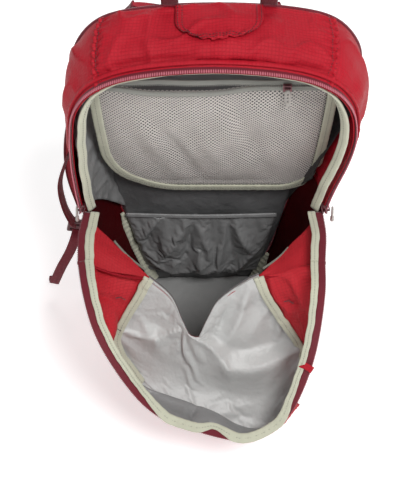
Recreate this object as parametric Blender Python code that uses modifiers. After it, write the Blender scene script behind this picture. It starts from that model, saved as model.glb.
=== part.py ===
"""A panel-loading hiking daypack, standing open: its front flap is folded forward over a low hinge line.

Metres, +Z up. X runs across the pack, +Y towards the wearer's back, and the origin is on the floor under
the pack. The shell follows three outlines that run from the base up one side to the middle of the top:
the back seam, the zipper line and the front seam. Each panel is a patch of the surface through them.
The flap is drawn shut and hangs from an empty that turns it open.
"""
import math

import bpy
from mathutils import Matrix, Vector

# Driving dimensions
BACK_Y = 0.078             # inner face of the back panel
FRONT_FOOT_Y = -0.060      # front seam at the floor and at the flap's fold
FRONT_TOP_Y = -0.050       # front seam at the top
FOLD_Z = 0.245             # height of the flap's fold, and of the zipper's ends
TOP_Z = 0.438              # top of the front panel
OPEN_ANGLE = math.radians(163)
HINGE = Vector((0, -0.064, 0.249))
CLOTH = 0.0012             # ripstop and tape thickness
BASE_CLOTH = 0.002         # the base is doubled
BACK_FOAM = 0.008
STRAP_FOAM = 0.009
WEBBING = 0.0016
WEBBING_WIDTH = 0.017
BULGE_SIDE = 0.008         # how far the side and top panels bow outwards
BULGE_GUSSET = 0.010
SEAM_GAP = 0.02            # share of a panel's depth left clear at each seam

# Outlines: half-width and height, from the base to the middle of the top
ZIP_LINE = [(0.064, 0.003), (0.088, 0.070), (0.106, 0.140), (0.117, 0.205), (0.123, 0.245), (0.128, 0.285),
            (0.133, 0.325), (0.134, 0.365), (0.127, 0.402), (0.106, 0.430), (0.066, 0.447), (0.0, 0.454)]
BACK_LINE = [(0.060, 0.003), (0.078, 0.070), (0.092, 0.140), (0.101, 0.205), (0.107, 0.245), (0.118, 0.295),
             (0.130, 0.340), (0.138, 0.380), (0.132, 0.415), (0.107, 0.445), (0.062, 0.458), (0.0, 0.462)]
FRONT_LINE = [(0.060, 0.003), (0.059, 0.070), (0.058, 0.140), (0.058, 0.205), (0.058, 0.245), (0.066, 0.285),
              (0.076, 0.325), (0.086, 0.362), (0.095, 0.396), (0.098, 0.422), (0.062, 0.435), (0.0, 0.438)]
FOLD = 4                   # station of the fold and the zipper's ends
SEAM = 9                   # station of the seam between side and top
CROWN = 11                 # station of the middle of the top


# ---------------------------------------------------------------- helpers
def clear_scene():
    for old in list(bpy.data.objects):
        bpy.data.objects.remove(old, do_unlink=True)


def new_collection(name):
    group = bpy.data.collections.new(name)
    bpy.context.scene.collection.children.link(group)
    return group


def material(name, colour, roughness, metallic=0.0):
    mat = bpy.data.materials.new(name)
    mat.use_nodes = True
    shader = mat.node_tree.nodes["Principled BSDF"]
    shader.inputs["Base Color"].default_value = (*colour, 1)
    shader.inputs["Roughness"].default_value = roughness
    shader.inputs["Metallic"].default_value = metallic
    return mat


def spline(points, at):
    """Point of a Catmull-Rom curve through the points; `at` counts in points."""
    last = len(points) - 1
    i = min(max(int(math.floor(at)), 0), last - 1)
    t = at - i
    p0, p1, p2, p3 = (Vector(points[min(max(j, 0), last)]) for j in (i - 1, i, i + 1, i + 2))
    if i == 0:
        p0 = p1 * 2 - p2
    if i + 2 > last:
        p3 = p2 * 2 - p1
    return 0.5 * (2 * p1 + (p2 - p0) * t + (2 * p0 - 5 * p1 + 4 * p2 - p3) * t * t
                  + (3 * p1 - p0 - 3 * p2 + p3) * t ** 3)


def smooth(points, per_span):
    count = (len(points) - 1) * per_span
    return [spline(points, i / per_span) for i in range(count + 1)]


def steps(start, end, count):
    return [start + (end - start) * i / count for i in range(count + 1)]


def add_object(name, mesh, mat, parent=None, location=(0, 0, 0), rotation=(0, 0, 0)):
    obj = bpy.data.objects.new(name, mesh)
    obj.location = location
    obj.rotation_euler = rotation
    obj.parent = parent
    obj.data.materials.append(mat)
    PACK.objects.link(obj)
    return obj


def pivot(name, location, rotation=(0, 0, 0), parent=None):
    """Empty on a joint's axis; the moving pieces are its children."""
    empty = bpy.data.objects.new(name, None)
    empty.location = location
    empty.rotation_euler = rotation
    empty.parent = parent
    empty.empty_display_size = 0.01
    PACK.objects.link(empty)
    return empty


def cloth(name, rows, thickness, mat, flip=False, parent=None, origin=(0, 0, 0), offset=-1):
    """Sheet lofted through rows of points, which may differ in length only by leaving out first columns."""
    width = max(len(row) for row in rows)
    verts = []
    index = []
    for row in rows:
        missing = width - len(row)
        index.append([None] * missing + list(range(len(verts), len(verts) + len(row))))
        verts += [Vector(point) - Vector(origin) for point in row]
    faces = []
    for below, above in zip(index, index[1:]):
        for i in range(width - 1):
            corners = [below[i], below[i + 1], above[i + 1], above[i]]
            if None not in corners:
                faces.append(corners[::-1] if flip else corners)
    mesh = bpy.data.meshes.new(name)
    mesh.from_pydata(verts, [], faces)
    mesh.shade_smooth()
    obj = add_object(name, mesh, mat, parent, (0, 0, 0) if parent else origin)
    skin = obj.modifiers.new("Thickness", "SOLIDIFY")
    skin.thickness = thickness
    skin.offset = offset
    return obj


def ribbon(name, path, width, thickness, mat, facing=(0, 1, 0), parent=None, origin=(0, 0, 0)):
    """Flat webbing along a path, its face turned towards `facing`; width is a number or one per point."""
    rows = []
    for i, point in enumerate(path):
        run = path[min(i + 1, len(path) - 1)] - path[max(i - 1, 0)]
        across = run.cross(Vector(facing)).normalized()
        half = (width[i] if isinstance(width, list) else width) / 2
        rows.append([point - across * half, point + across * half])
    return cloth(name, rows, thickness, mat, parent=parent, origin=origin, offset=0)


def plate(name, outline, thickness, mat, location, rotation=(math.pi / 2, 0, 0), parent=None):
    """Flat piece cut to an outline in its own XY plane; the default rotation stands it up, facing -Y."""
    curve = bpy.data.curves.new(name, "CURVE")
    curve.dimensions = "2D"
    curve.fill_mode = "BOTH"
    curve.extrude = thickness / 2
    cut = curve.splines.new("POLY")
    cut.points.add(len(outline) - 1)
    for point, (x, y) in zip(cut.points, outline):
        point.co = (x, y, 0, 1)
    cut.use_cyclic_u = True
    return add_object(name, curve, mat, parent, location, rotation)


def block(name, size, location, mat, bevel, parent=None, rotation=(0, 0, 0)):
    bpy.ops.mesh.primitive_cube_add(size=1)
    obj = bpy.context.object
    obj.name = name
    obj.data.name = name
    obj.data.transform(Matrix.Diagonal((*size, 1)))
    for group in list(obj.users_collection):
        group.objects.unlink(obj)
    PACK.objects.link(obj)
    obj.location = location
    obj.rotation_euler = rotation
    obj.parent = parent
    obj.data.materials.append(mat)
    edge = obj.modifiers.new("Edges", "BEVEL")
    edge.width = bevel
    edge.segments = 2
    return obj


def tube(name, path, radius, mat, parent=None, location=(0, 0, 0), closed=False):
    curve = bpy.data.curves.new(name, "CURVE")
    curve.dimensions = "3D"
    curve.bevel_depth = radius
    curve.bevel_resolution = 2
    curve.use_fill_caps = not closed
    run = curve.splines.new("POLY")
    run.points.add(len(path) - 1)
    for point, place in zip(run.points, path):
        point.co = (*place, 1)
    run.use_cyclic_u = closed
    return add_object(name, curve, mat, parent, location)


# ---------------------------------------------------------------- shell surface
def front_y(z):
    share = (z - FOLD_Z) / (TOP_Z - FOLD_Z)
    return FRONT_FOOT_Y + (FRONT_TOP_Y - FRONT_FOOT_Y) * max(share, 0)


def outward(station):
    """Unit direction away from the pack in the plane of the zipper line, level at the floor."""
    run = spline(ZIP_LINE, min(station + 0.05, CROWN)) - spline(ZIP_LINE, max(station - 0.05, 0))
    return Vector((run.y, 0, -run.x * min(station, 1))).normalized()


def shell(side, station, depth, lift=0.0):
    """Point of the shell. depth runs from -1 at the front seam, over 0 at the zipper line, to 1 at the back."""
    zx, zz = spline(ZIP_LINE, station)
    at_zip = Vector((zx, 0, zz))
    if depth >= 0:
        x, z = spline(BACK_LINE, station)
        far = Vector((x, BACK_Y, z))
        bulge = BULGE_SIDE
    else:
        x, z = spline(FRONT_LINE, station)
        far = Vector((x, front_y(z), z))
        bulge = BULGE_GUSSET
    share = abs(depth)
    point = at_zip.lerp(far, share) + outward(station) * (bulge * 4 * share * (1 - share) + lift)
    return Vector((point.x * side, point.y, point.z))


def over_top(first, count, depths, lift=0.0):
    """Rows of shell points from a station on the left, over the crown, to the same station on the right."""
    rows = [[shell(-1, at, depth, lift) for depth in depths] for at in steps(first, CROWN, count)]
    rows += [[shell(1, at, depth, lift) for depth in depths] for at in steps(CROWN, first, count)[1:]]
    return rows


def mirrored_outline(line, first, last, inset, count):
    """Closed outline between both sides of a seam line, pulled in by `inset`."""
    half = [spline(line, at) for at in steps(first, last, count)]
    right = [(max(x - inset, 0), z) for x, z in half]
    left = [(-x, z) for x, z in reversed(right) if x > 0]
    return right + left


# ---------------------------------------------------------------- pack body
def make_back():
    outline = mirrored_outline(BACK_LINE, 0, CROWN, 0.001, 22)
    plate("back_panel", outline, BACK_FOAM, FOAM_RED, (0, BACK_Y + 0.001 + BACK_FOAM / 2, 0))
    pad = [(-0.028, -0.165), (0.022, -0.165), (0.036, -0.05), (0.040, 0.08), (0.038, 0.14), (0.024, 0.165),
           (-0.024, 0.165), (-0.034, 0.14), (-0.036, 0.0)]
    for name, side in (("back_pad_left", -1), ("back_pad_right", 1)):
        cut = [(x * side, z) for x, z in pad][::side]
        plate(name, cut, 0.006, PAD_MESH, (side * 0.050, BACK_Y + BACK_FOAM + 0.0045, 0.225))


def make_sides():
    gusset = steps(-1 + SEAM_GAP * 1.5, 0, 4)
    side_depths = steps(0.12, 1 - SEAM_GAP, 4)
    for name, side in (("side_panel_left", -1), ("side_panel_right", 1)):
        rows = [[shell(side, at, depth) for depth in gusset + side_depths] for at in steps(0, FOLD, 7)]
        rows += [[shell(side, at, depth) for depth in side_depths] for at in steps(FOLD + 0.5, SEAM - 0.05, 9)]
        cloth(name, rows, CLOTH, RIPSTOP, flip=side < 0)


def make_top():
    cloth("top_panel", over_top(SEAM + 0.05, 5, steps(0.12, 1 - SEAM_GAP, 4)), CLOTH, RIPSTOP, flip=True)
    cloth("haul_patch", over_top(CROWN - 0.62, 3, steps(0.42, 0.95, 3), 0.003), CLOTH, CRIMSON, flip=True)


def make_front_and_base():
    outline = mirrored_outline(FRONT_LINE, 0, FOLD - 0.08, 0.004, 5)
    plate("front_strip", outline, CLOTH, RIPSTOP, (0, FRONT_FOOT_Y + CLOTH, 0))
    edge = [shell(1, 0, depth) for depth in steps(-0.97, 1 - SEAM_GAP, 12)]
    foot = [(p.x, p.y) for p in edge] + [(-p.x, p.y) for p in reversed(edge)]
    plate("base_panel", foot, BASE_CLOTH, RIPSTOP, (0, 0, BASE_CLOTH / 2), (0, 0, 0))


def make_zipper():
    cloth("body_zip_tape", over_top(FOLD + 0.1, 14, steps(0.006, 0.10, 1)), CLOTH, CRIMSON, flip=True)
    cloth("arch_binding", over_top(FOLD + 0.1, 14, steps(0.02, 0.12, 1), -0.004), CLOTH, BINDING, flip=True)
    for name, side in (("left", -1), ("right", 1)):
        seat = shell(side, FOLD + 0.15, 0) + Vector((side * 0.0042, 0, 0))
        tilt = side * math.atan2(ZIP_LINE[6][0] - ZIP_LINE[4][0], ZIP_LINE[6][1] - ZIP_LINE[4][1])
        track = pivot(f"slider_track_{name}", seat, (0, tilt, 0))
        block(f"slider_{name}", (0.005, 0.0085, 0.011), (0, 0, 0), METAL, 0.001, track)
        swing = pivot(f"pull_pivot_{name}", seat + Vector((side * 0.0045, 0, 0.002)))
        drop = [(0, 0.0016, 0), (0, 0.0026, -0.010), (0, 0.0022, -0.020), (0, -0.0022, -0.020),
                (0, -0.0026, -0.010), (0, -0.0016, 0)]
        tube(f"pull_{name}", drop, 0.0012, CORD, swing, closed=True)


# ---------------------------------------------------------------- inside of the back
POCKET_TOP = Vector((0, 0.034, 0.408))
POCKET_FOOT = Vector((0, 0.062, 0.226))
POCKET_HALF = 0.108
POCKET_CORNER = 0.055


def pocket_outline(grow, count):
    """U outline of the net: down the left side, round the bottom and up the right, as (across, down)."""
    length = (POCKET_TOP - POCKET_FOOT).length
    half = POCKET_HALF + grow
    points = [(-half, 0), (-half, length * 0.35)]
    for side in (-1, 1):
        centre = side * (POCKET_HALF - POCKET_CORNER)
        turn = steps(0, math.pi / 2, count)
        arc = [(centre + side * (POCKET_CORNER + grow) * math.cos(a),
                length - POCKET_CORNER + (POCKET_CORNER + grow) * math.sin(a)) for a in turn]
        points += arc if side < 0 else arc[::-1]
    return points + [(half, length * 0.35), (half, 0)]


def make_mesh_pocket():
    lean = math.atan2(POCKET_FOOT.y - POCKET_TOP.y, POCKET_TOP.z - POCKET_FOOT.z)
    tilt = (math.pi / 2 + lean, 0, 0)
    outline = [(x, -down) for x, down in pocket_outline(0, 5)]
    plate("mesh_pocket", outline, CLOTH, NET, POCKET_TOP, tilt)
    down_slope = (POCKET_FOOT - POCKET_TOP).normalized()
    inner = [POCKET_TOP + Vector((x, 0, 0)) + down_slope * down for x, down in pocket_outline(0.0008, 5)]
    outer = [POCKET_TOP + Vector((x, 0, 0)) + down_slope * down for x, down in pocket_outline(0.0078, 5)]
    cloth("mesh_pocket_binding", list(zip(inner, outer)), 0.002, BINDING, offset=0)
    block("mesh_zip_tape", (0.212, CLOTH, 0.020), POCKET_TOP + Vector((0, 0, 0.0115)), NET_TAPE, 0.0003)
    seat = POCKET_TOP + Vector((0.078, -0.0040, 0.0115))
    block("mesh_slider", (0.010, 0.005, 0.008), seat, METAL, 0.001)
    swing = pivot("mesh_pull_pivot", seat + Vector((0, -0.0045, 0.002)))
    drop = [(0.0016, 0, 0), (0.0026, 0, -0.010), (0.0022, 0, -0.020), (-0.0022, 0, -0.020),
            (-0.0026, 0, -0.010), (-0.0016, 0, 0)]
    tube("mesh_pull", drop, 0.0012, CORD, swing, closed=True)


def make_sleeve():
    outline = [(0.052, 0.010), (0.070, 0.070), (0.082, 0.132), (-0.082, 0.132), (-0.070, 0.070), (-0.052, 0.010)]
    plate("inner_sleeve", outline, CLOTH, LINING, (0, 0.062, 0))
    block("sleeve_hem", (0.166, 0.002, 0.009), (0, 0.062, 0.1375), LINING, 0.0004)
    for name, side in (("seam_binding_left", -1), ("seam_binding_right", 1)):
        rows = [[shell(side, at, depth, -0.005) for depth in (0.86, 0.94)] for at in steps(0.3, 6.5, 10)]
        cloth(name, rows, CLOTH, BINDING, flip=side < 0)


# ---------------------------------------------------------------- flap, drawn shut
def make_flap():
    hinge = pivot("flap_hinge", HINGE, (OPEN_ANGLE, 0, 0))
    lean = math.atan2(FRONT_TOP_Y - FRONT_FOOT_Y, TOP_Z - FOLD_Z)
    outline = mirrored_outline(FRONT_LINE, FOLD + 0.2, CROWN, 0.004, 14)
    standing = (math.pi / 2 - lean, 0, 0)

    def flap_plate(name, cut, gap, mat):
        foot = Vector((0, FRONT_FOOT_Y + gap, FOLD_Z)) - HINGE
        lowered = [(x, (z - FOLD_Z) / math.cos(lean)) for x, z in cut]
        plate(name, lowered, CLOTH, mat, foot, standing, hinge)

    flap_plate("flap_panel", outline, CLOTH, RIPSTOP)
    lining = mirrored_outline(FRONT_LINE, FOLD + 0.3, CROWN, 0.011, 14)
    flap_plate("flap_lining", [(x, min(z, TOP_Z - 0.012)) for x, z in lining], 0.006, LINING)
    depths = steps(-0.97, -0.115, 3)
    for name, side in (("flap_gusset_left", -1), ("flap_gusset_right", 1)):
        rows = [[shell(side, at, depth) for depth in depths] for at in steps(FOLD + 0.25, SEAM - 0.05, 9)]
        cloth(name, rows, CLOTH, RIPSTOP, flip=side < 0, parent=hinge, origin=HINGE)
        rows = [[shell(side, at, depth, -0.005) for depth in (-0.93, -0.85)]
                for at in steps(FOLD + 0.4, SEAM - 0.1, 8)]
        cloth(name.replace("gusset", "seam_binding"), rows, CLOTH, BINDING, flip=side < 0, parent=hinge,
              origin=HINGE)
    cloth("flap_gusset_top", over_top(SEAM + 0.05, 5, depths), CLOTH, RIPSTOP, flip=True, parent=hinge,
          origin=HINGE)
    for name, depths, mat in (("flap_zip_tape", (-0.052, -0.006), CRIMSON),
                              ("flap_rim_binding", (-0.105, -0.058), BINDING)):
        cloth(name, over_top(FOLD + 0.25, 14, depths), CLOTH, mat, flip=True, parent=hinge, origin=HINGE)


# ---------------------------------------------------------------- carrying
LOOP_HALF = 0.046
LOOP_FOOT = Vector((0, 0.081, 0.4655))
LOOP_RISE = 0.040
LOOP_CORNER = 0.020


def make_haul_loop():
    swing = pivot("haul_loop_pivot", LOOP_FOOT)
    path = [Vector((-LOOP_HALF, 0, 0)), Vector((-LOOP_HALF, 0, LOOP_RISE - LOOP_CORNER))]
    for side in (-1, 1):
        turn = [math.pi / 2 * i / 5 for i in range(1, 6)]
        corner = [Vector((side * (LOOP_HALF - LOOP_CORNER + LOOP_CORNER * math.cos(a)), 0,
                          LOOP_RISE - LOOP_CORNER + LOOP_CORNER * math.sin(a))) for a in turn]
        path += corner if side < 0 else corner[::-1]
    path += [Vector((LOOP_HALF, 0, LOOP_RISE - LOOP_CORNER)), Vector((LOOP_HALF, 0, 0))]
    ribbon("haul_loop", path, WEBBING_WIDTH, 0.002, CRIMSON, parent=swing)


STRAP_LEFT = [(-0.047, 0.0945, 0.446), (-0.056, 0.116, 0.405), (-0.082, 0.130, 0.345), (-0.116, 0.127, 0.285),
              (-0.141, 0.110, 0.235), (-0.149, 0.096, 0.190), (-0.143, 0.086, 0.140)]
STRAP_RIGHT = [(0.047, 0.0945, 0.446), (0.052, 0.116, 0.405), (0.062, 0.130, 0.345), (0.076, 0.136, 0.285),
               (0.088, 0.134, 0.235), (0.094, 0.128, 0.190), (0.094, 0.122, 0.140)]
# Strap width at each of its points, top to bottom, as (point, width)
STRAP_WIDTHS = list(enumerate((0.046, 0.054, 0.058, 0.052, 0.040, 0.030, 0.020)))
LOCK_LEFT = Vector((-0.148, 0.078, 0.112))
LOCK_RIGHT = Vector((0.094, 0.114, 0.112))
LOOSE_LEFT = [(-0.160, 0.087, 0.214), (-0.171, 0.083, 0.178), (-0.172, 0.078, 0.146), (-0.163, 0.072, 0.124)]
LOOSE_RIGHT = [(0.100, 0.142, 0.214), (0.104, 0.146, 0.178), (0.103, 0.140, 0.146), (0.098, 0.128, 0.128)]
LOWER_LEFT = [(-0.145, 0.082, 0.098), (-0.132, 0.088, 0.070), (-0.104, 0.092, 0.040), (-0.078, 0.0935, 0.026)]
LOWER_RIGHT = [(0.093, 0.110, 0.098), (0.090, 0.102, 0.070), (0.083, 0.096, 0.045), (0.075, 0.0935, 0.030)]
TAIL_LEFT = [(-0.152, 0.070, 0.100), (-0.160, 0.066, 0.076), (-0.172, 0.062, 0.050), (-0.184, 0.060, 0.018)]
TAIL_RIGHT = [(0.096, 0.124, 0.098), (0.100, 0.130, 0.074), (0.101, 0.132, 0.048), (0.100, 0.132, 0.016)]


def make_ladder_lock(name, place, tilt):
    """Three-bar adjuster: a bevelled frame with two slots cut through it."""
    lock_pivot = pivot(f"{name}_pivot", place)
    frame = block(name, (0.024, 0.005, 0.020), (0, 0, 0), PLASTIC, 0.0012, lock_pivot, tilt)
    for i, height in enumerate((0.0045, -0.0045)):
        slot = block(f"{name}_slot_{i}", (0.0175, 0.02, 0.0032), (0, 0, height), PLASTIC, 0.0004, lock_pivot, tilt)
        PACK.objects.unlink(slot)
        CUTTERS.objects.link(slot)
        slot.location = Matrix.Rotation(tilt[1], 3, "Y") @ Vector((0, 0, height))
        slot.hide_render = True
        slot.display_type = "WIRE"
        cut = frame.modifiers.new("Slot", "BOOLEAN")
        cut.object = slot
        cut.operation = "DIFFERENCE"


def make_straps():
    sides = (("left", STRAP_LEFT, LOCK_LEFT, LOOSE_LEFT, LOWER_LEFT, TAIL_LEFT, -1),
             ("right", STRAP_RIGHT, LOCK_RIGHT, LOOSE_RIGHT, LOWER_RIGHT, TAIL_RIGHT, 1))
    widths = [width for _, width in smooth(STRAP_WIDTHS, 3)]
    tab = [(-0.011, -0.012), (0.011, -0.012), (0.007, 0.012), (-0.007, 0.012)]
    for name, strap, lock, loose, lower, tail, side in sides:
        ribbon(f"shoulder_strap_{name}", smooth(strap, 3), widths, STRAP_FOAM, STRAP_RED)
        ribbon(f"adjuster_webbing_{name}", smooth(loose, 4), WEBBING_WIDTH * 0.7, WEBBING, CRIMSON,
               (side, 0.4, 0))
        make_ladder_lock(f"ladder_lock_{name}", lock, (0, side * math.radians(-12), 0))
        ribbon(f"lower_webbing_{name}", smooth(lower, 4), WEBBING_WIDTH * 0.7, WEBBING, CRIMSON)
        ribbon(f"webbing_tail_{name}", smooth(tail, 4), WEBBING_WIDTH * 0.7, WEBBING, CRIMSON)
        plate(f"anchor_tab_{name}", tab, 0.003, CRIMSON, (side * 0.063, BACK_Y + 0.0115, 0.022))


clear_scene()
PACK = new_collection("daypack")
CUTTERS = new_collection("cutters")
RIPSTOP = material("ripstop", (0.47, 0.030, 0.045), 0.6)
CRIMSON = material("webbing", (0.20, 0.012, 0.025), 0.7)
BINDING = material("binding", (0.56, 0.55, 0.45), 0.8)
NET = material("net", (0.50, 0.46, 0.43), 0.85)
NET_TAPE = material("net_tape", (0.40, 0.39, 0.37), 0.8)
LINING = material("lining", (0.42, 0.42, 0.41), 0.45)
FOAM_RED = material("back_fabric", (0.30, 0.020, 0.030), 0.75)
PAD_MESH = material("pad_mesh", (0.14, 0.012, 0.018), 0.9)
STRAP_RED = material("strap_fabric", (0.42, 0.025, 0.045), 0.75)
METAL = material("slider_metal", (0.35, 0.33, 0.33), 0.35, 1.0)
CORD = material("pull_cord", (0.60, 0.58, 0.55), 0.8)
PLASTIC = material("lock_plastic", (0.10, 0.010, 0.015), 0.45)

make_back()
make_sides()
make_top()
make_front_and_base()
make_zipper()
make_mesh_pocket()
make_sleeve()
make_flap()
make_haul_loop()
make_straps()
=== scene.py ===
"""Looks of the panel-loading daypack, standing open with its flap folded forward.

Metres, +Z up, in the frame of the CAD model. The shell follows the same three outlines as the CAD
model, leaned a little to one side as soft cloth stands. Grids of points are numpy arrays of shape
(rows, columns, 3), and each sheet, band and tube is built from one.
"""
import math

import bpy
import numpy as np
from mathutils import Matrix, Vector, noise


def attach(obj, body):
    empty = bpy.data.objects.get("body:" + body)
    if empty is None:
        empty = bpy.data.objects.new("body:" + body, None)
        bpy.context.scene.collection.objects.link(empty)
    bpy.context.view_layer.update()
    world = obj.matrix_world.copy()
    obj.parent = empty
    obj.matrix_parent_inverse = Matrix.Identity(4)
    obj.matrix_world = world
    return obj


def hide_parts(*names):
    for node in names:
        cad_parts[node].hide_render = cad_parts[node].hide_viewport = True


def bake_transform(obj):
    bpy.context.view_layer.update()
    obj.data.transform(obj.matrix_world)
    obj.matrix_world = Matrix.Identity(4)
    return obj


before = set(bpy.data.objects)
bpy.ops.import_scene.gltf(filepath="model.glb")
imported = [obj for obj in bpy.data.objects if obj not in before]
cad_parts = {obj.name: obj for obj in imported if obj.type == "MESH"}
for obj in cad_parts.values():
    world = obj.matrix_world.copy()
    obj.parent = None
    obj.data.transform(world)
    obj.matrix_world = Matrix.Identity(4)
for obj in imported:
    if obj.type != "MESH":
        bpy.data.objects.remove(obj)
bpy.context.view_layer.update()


# ---------------------------------------------------------------- dimensions
BACK_Y = 0.078
FRONT_FOOT_Y = -0.060
FRONT_TOP_Y = -0.050
FOLD_Z = 0.245
TOP_Z = 0.438
FOLD, SEAM, CROWN = 4, 9, 11           # stations of the fold, of the top's side seam and of its middle
BULGE_SIDE = 0.008
BULGE_GUSSET = 0.010
CLOTH = 0.0007                         # one layer of ripstop or lining
HINGE_Y = -0.065                       # the flap's cloth follows the flap in front of this
PITCH = 0.0021                         # zipper teeth
FINE_STEPS = 400                       # points of a curve before it is resampled
SIDES = (("left", -1), ("right", 1))
ZIP_LINE = [(0.064, 0.003), (0.088, 0.070), (0.106, 0.140), (0.117, 0.205), (0.123, 0.245), (0.128, 0.285),
            (0.133, 0.325), (0.134, 0.365), (0.127, 0.402), (0.106, 0.430), (0.066, 0.447), (0.0, 0.454)]
BACK_LINE = [(0.060, 0.003), (0.078, 0.070), (0.092, 0.140), (0.101, 0.205), (0.107, 0.245), (0.118, 0.295),
             (0.130, 0.340), (0.138, 0.380), (0.132, 0.415), (0.107, 0.445), (0.062, 0.458), (0.0, 0.462)]
FRONT_LINE = [(0.060, 0.003), (0.059, 0.070), (0.058, 0.140), (0.058, 0.205), (0.058, 0.245), (0.066, 0.285),
              (0.076, 0.325), (0.086, 0.362), (0.095, 0.396), (0.098, 0.422), (0.062, 0.435), (0.0, 0.438)]

# The open flap, as it hangs: its rim, its seam with the front panel, and the slumped fold between them
RIM_LEFT = [(-0.128, -0.066, 0.250), (-0.122, -0.098, 0.244), (-0.114, -0.120, 0.218),
            (-0.103, -0.133, 0.187), (-0.084, -0.147, 0.148), (-0.063, -0.160, 0.120),
            (-0.038, -0.170, 0.103), (-0.008, -0.178, 0.098), (0.020, -0.184, 0.094)]
RIM_TIP = (0.042, -0.186, 0.091)
RIM_RIGHT = [(0.119, -0.066, 0.250), (0.118, -0.096, 0.245), (0.115, -0.118, 0.215), (0.110, -0.134, 0.177),
             (0.101, -0.149, 0.141), (0.088, -0.164, 0.112), (0.069, -0.177, 0.096)]
SEAM_LEFT = [(-0.058, -0.062, 0.216), (-0.074, -0.071, 0.187), (-0.088, -0.081, 0.164),
             (-0.097, -0.091, 0.144), (-0.094, -0.099, 0.128), (-0.084, -0.108, 0.109),
             (-0.071, -0.118, 0.092)]
SEAM_FOOT = [(-0.050, -0.126, 0.085), (-0.020, -0.134, 0.077), (0.008, -0.142, 0.069), (0.032, -0.150, 0.056),
             (0.056, -0.154, 0.053), (0.080, -0.146, 0.062)]
SEAM_RIGHT = [(0.054, -0.062, 0.219), (0.063, -0.070, 0.199), (0.080, -0.080, 0.168), (0.097, -0.091, 0.144),
              (0.104, -0.100, 0.128), (0.104, -0.110, 0.104), (0.095, -0.132, 0.078)]
SLUMP = [(-0.058, -0.062, 0.216), (-0.036, -0.072, 0.194), (-0.024, -0.084, 0.163), (-0.012, -0.092, 0.141),
         (0.001, -0.083, 0.167), (0.013, -0.074, 0.190), (0.039, -0.065, 0.211), (0.054, -0.062, 0.219)]
SEAM_TIP = [SEAM_LEFT[-1]] + SEAM_FOOT + [SEAM_RIGHT[-1]]
OUT_OF_FLAP = np.array((0, -0.574, 0.819))     # out of the open flap's inner face, up and to the front
FOLD_FACING = np.array((0, -0.923, 0.384))     # square to the plane in which the slumped fold lies
FOLD_RISE = np.array((0, 0.384, 0.923))        # up along that plane
FOLD_OFFSET = 0.1405                           # the plane's distance from the origin


# ---------------------------------------------------------------- curves and grids
def catmull_rom(a, b, c, d, t):
    """Point at a share t of the way from b to c, on the smooth curve through all four."""
    return 0.5 * (2 * b + (c - a) * t + (2 * a - 5 * b + 4 * c - d) * t ** 2
                  + (3 * b - a - 3 * c + d) * t ** 3)


def curve(points, count):
    """Catmull-Rom curve through points of any dimension, sampled evenly by point number."""
    p = np.asarray(points, float)
    p = np.concatenate([[2 * p[0] - p[1]], p, [2 * p[-1] - p[-2]]])
    at = np.linspace(0, len(p) - 3, count)
    i = np.minimum(at.astype(int), len(p) - 4)
    t = (at - i).reshape((-1,) + (1,) * (p.ndim - 1))
    a, b, c, d = p[i], p[i + 1], p[i + 2], p[i + 3]
    return catmull_rom(a, b, c, d, t)


def distance_along(points):
    """Distance along a path from its first point to each of its points."""
    return np.r_[0, np.cumsum(np.linalg.norm(np.diff(points, axis=0), axis=1))]


def length(points):
    return float(distance_along(points)[-1])


def resampled(points, count):
    """Points at equal steps along a polyline."""
    points = np.asarray(points, float)
    run = distance_along(points)
    at = np.linspace(0, run[-1], count)
    return np.stack([np.interp(at, run, axis) for axis in points.T], axis=1)


def even(points, count):
    """Smooth curve through the points, resampled to equal steps along its length."""
    return resampled(curve(points, FINE_STEPS) if len(points) < FINE_STEPS / 2 else points, count)


def patch(net, rows, cols):
    """Smooth surface through a net of points."""
    tall = curve(net, rows)
    return curve(tall.swapaxes(0, 1), cols).swapaxes(0, 1)


def unit(vectors):
    return vectors / np.maximum(np.linalg.norm(vectors, axis=-1, keepdims=True), 1e-9)


def hump(count):
    """Half a sine wave: 0 at both ends and 1 in the middle."""
    return np.sin(np.linspace(0, math.pi, count))


def normals(grid):
    return unit(np.cross(np.gradient(grid, axis=1), np.gradient(grid, axis=0)))


def lean(points):
    """How far the soft shell stands off to the right, growing towards its top."""
    p = np.array(points, float)
    rise = np.clip((p[..., 2] - FOLD_Z) / 0.13, 0, 1)
    rise = rise * rise * (3 - 2 * rise)
    p[..., 0] += -0.003 + 0.010 * rise + 0.004 * np.clip(p[..., 1] / BACK_Y, 0, 1) * rise
    return p


def noise_at(points, size, seed=0.0):
    """Smooth noise of a given grain at each point, between about -1 and 1."""
    flat = np.asarray(points).reshape(-1, 3) / size + seed
    values = [noise.noise(Vector(p)) for p in flat]
    return np.array(values).reshape(np.asarray(points).shape[:-1])


def crumple(grid, size, depth, seed=0.0, ridged=False):
    """Moves the points along the surface normals: soft bumps, or sharper folds when ridged."""
    value = noise_at(grid, size, seed)
    if ridged:
        value = np.clip(1 - np.abs(value) * 4, 0, 1) ** 1.5
    return grid + normals(grid) * (value * depth)[..., None]


def creased(grid, soft, sharp):
    """Soft bumps and then sharper folds, each given by its size, depth and seed."""
    return crumple(crumple(grid, *soft), *sharp, ridged=True)


def partly(grid, other, share):
    """The first grid, moved by a share of the way to the other one."""
    return grid + (other - grid) * share


def fold_relief(rows, cols, size, folds):
    """Height of folds over a sheet. A fold: two ends, in shares of the sheet's size, a height and a width."""
    s, t = np.meshgrid(np.linspace(0, 1, cols), np.linspace(0, 1, rows))
    points = np.stack([s, t], axis=2) * size
    relief = np.zeros((rows, cols))
    for first, last, height, width in folds:
        a, run = np.array(first) * size, (np.array(last) - first) * size
        share = np.clip((points - a) @ run / (run @ run), 0, 1)
        away = np.linalg.norm(points - a - share[..., None] * run, axis=2)
        relief += height * np.exp(-(away / width) ** 1.4) * np.sin(math.pi * np.clip(share, 0.1, 0.9)) ** 0.5
    return relief


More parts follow.
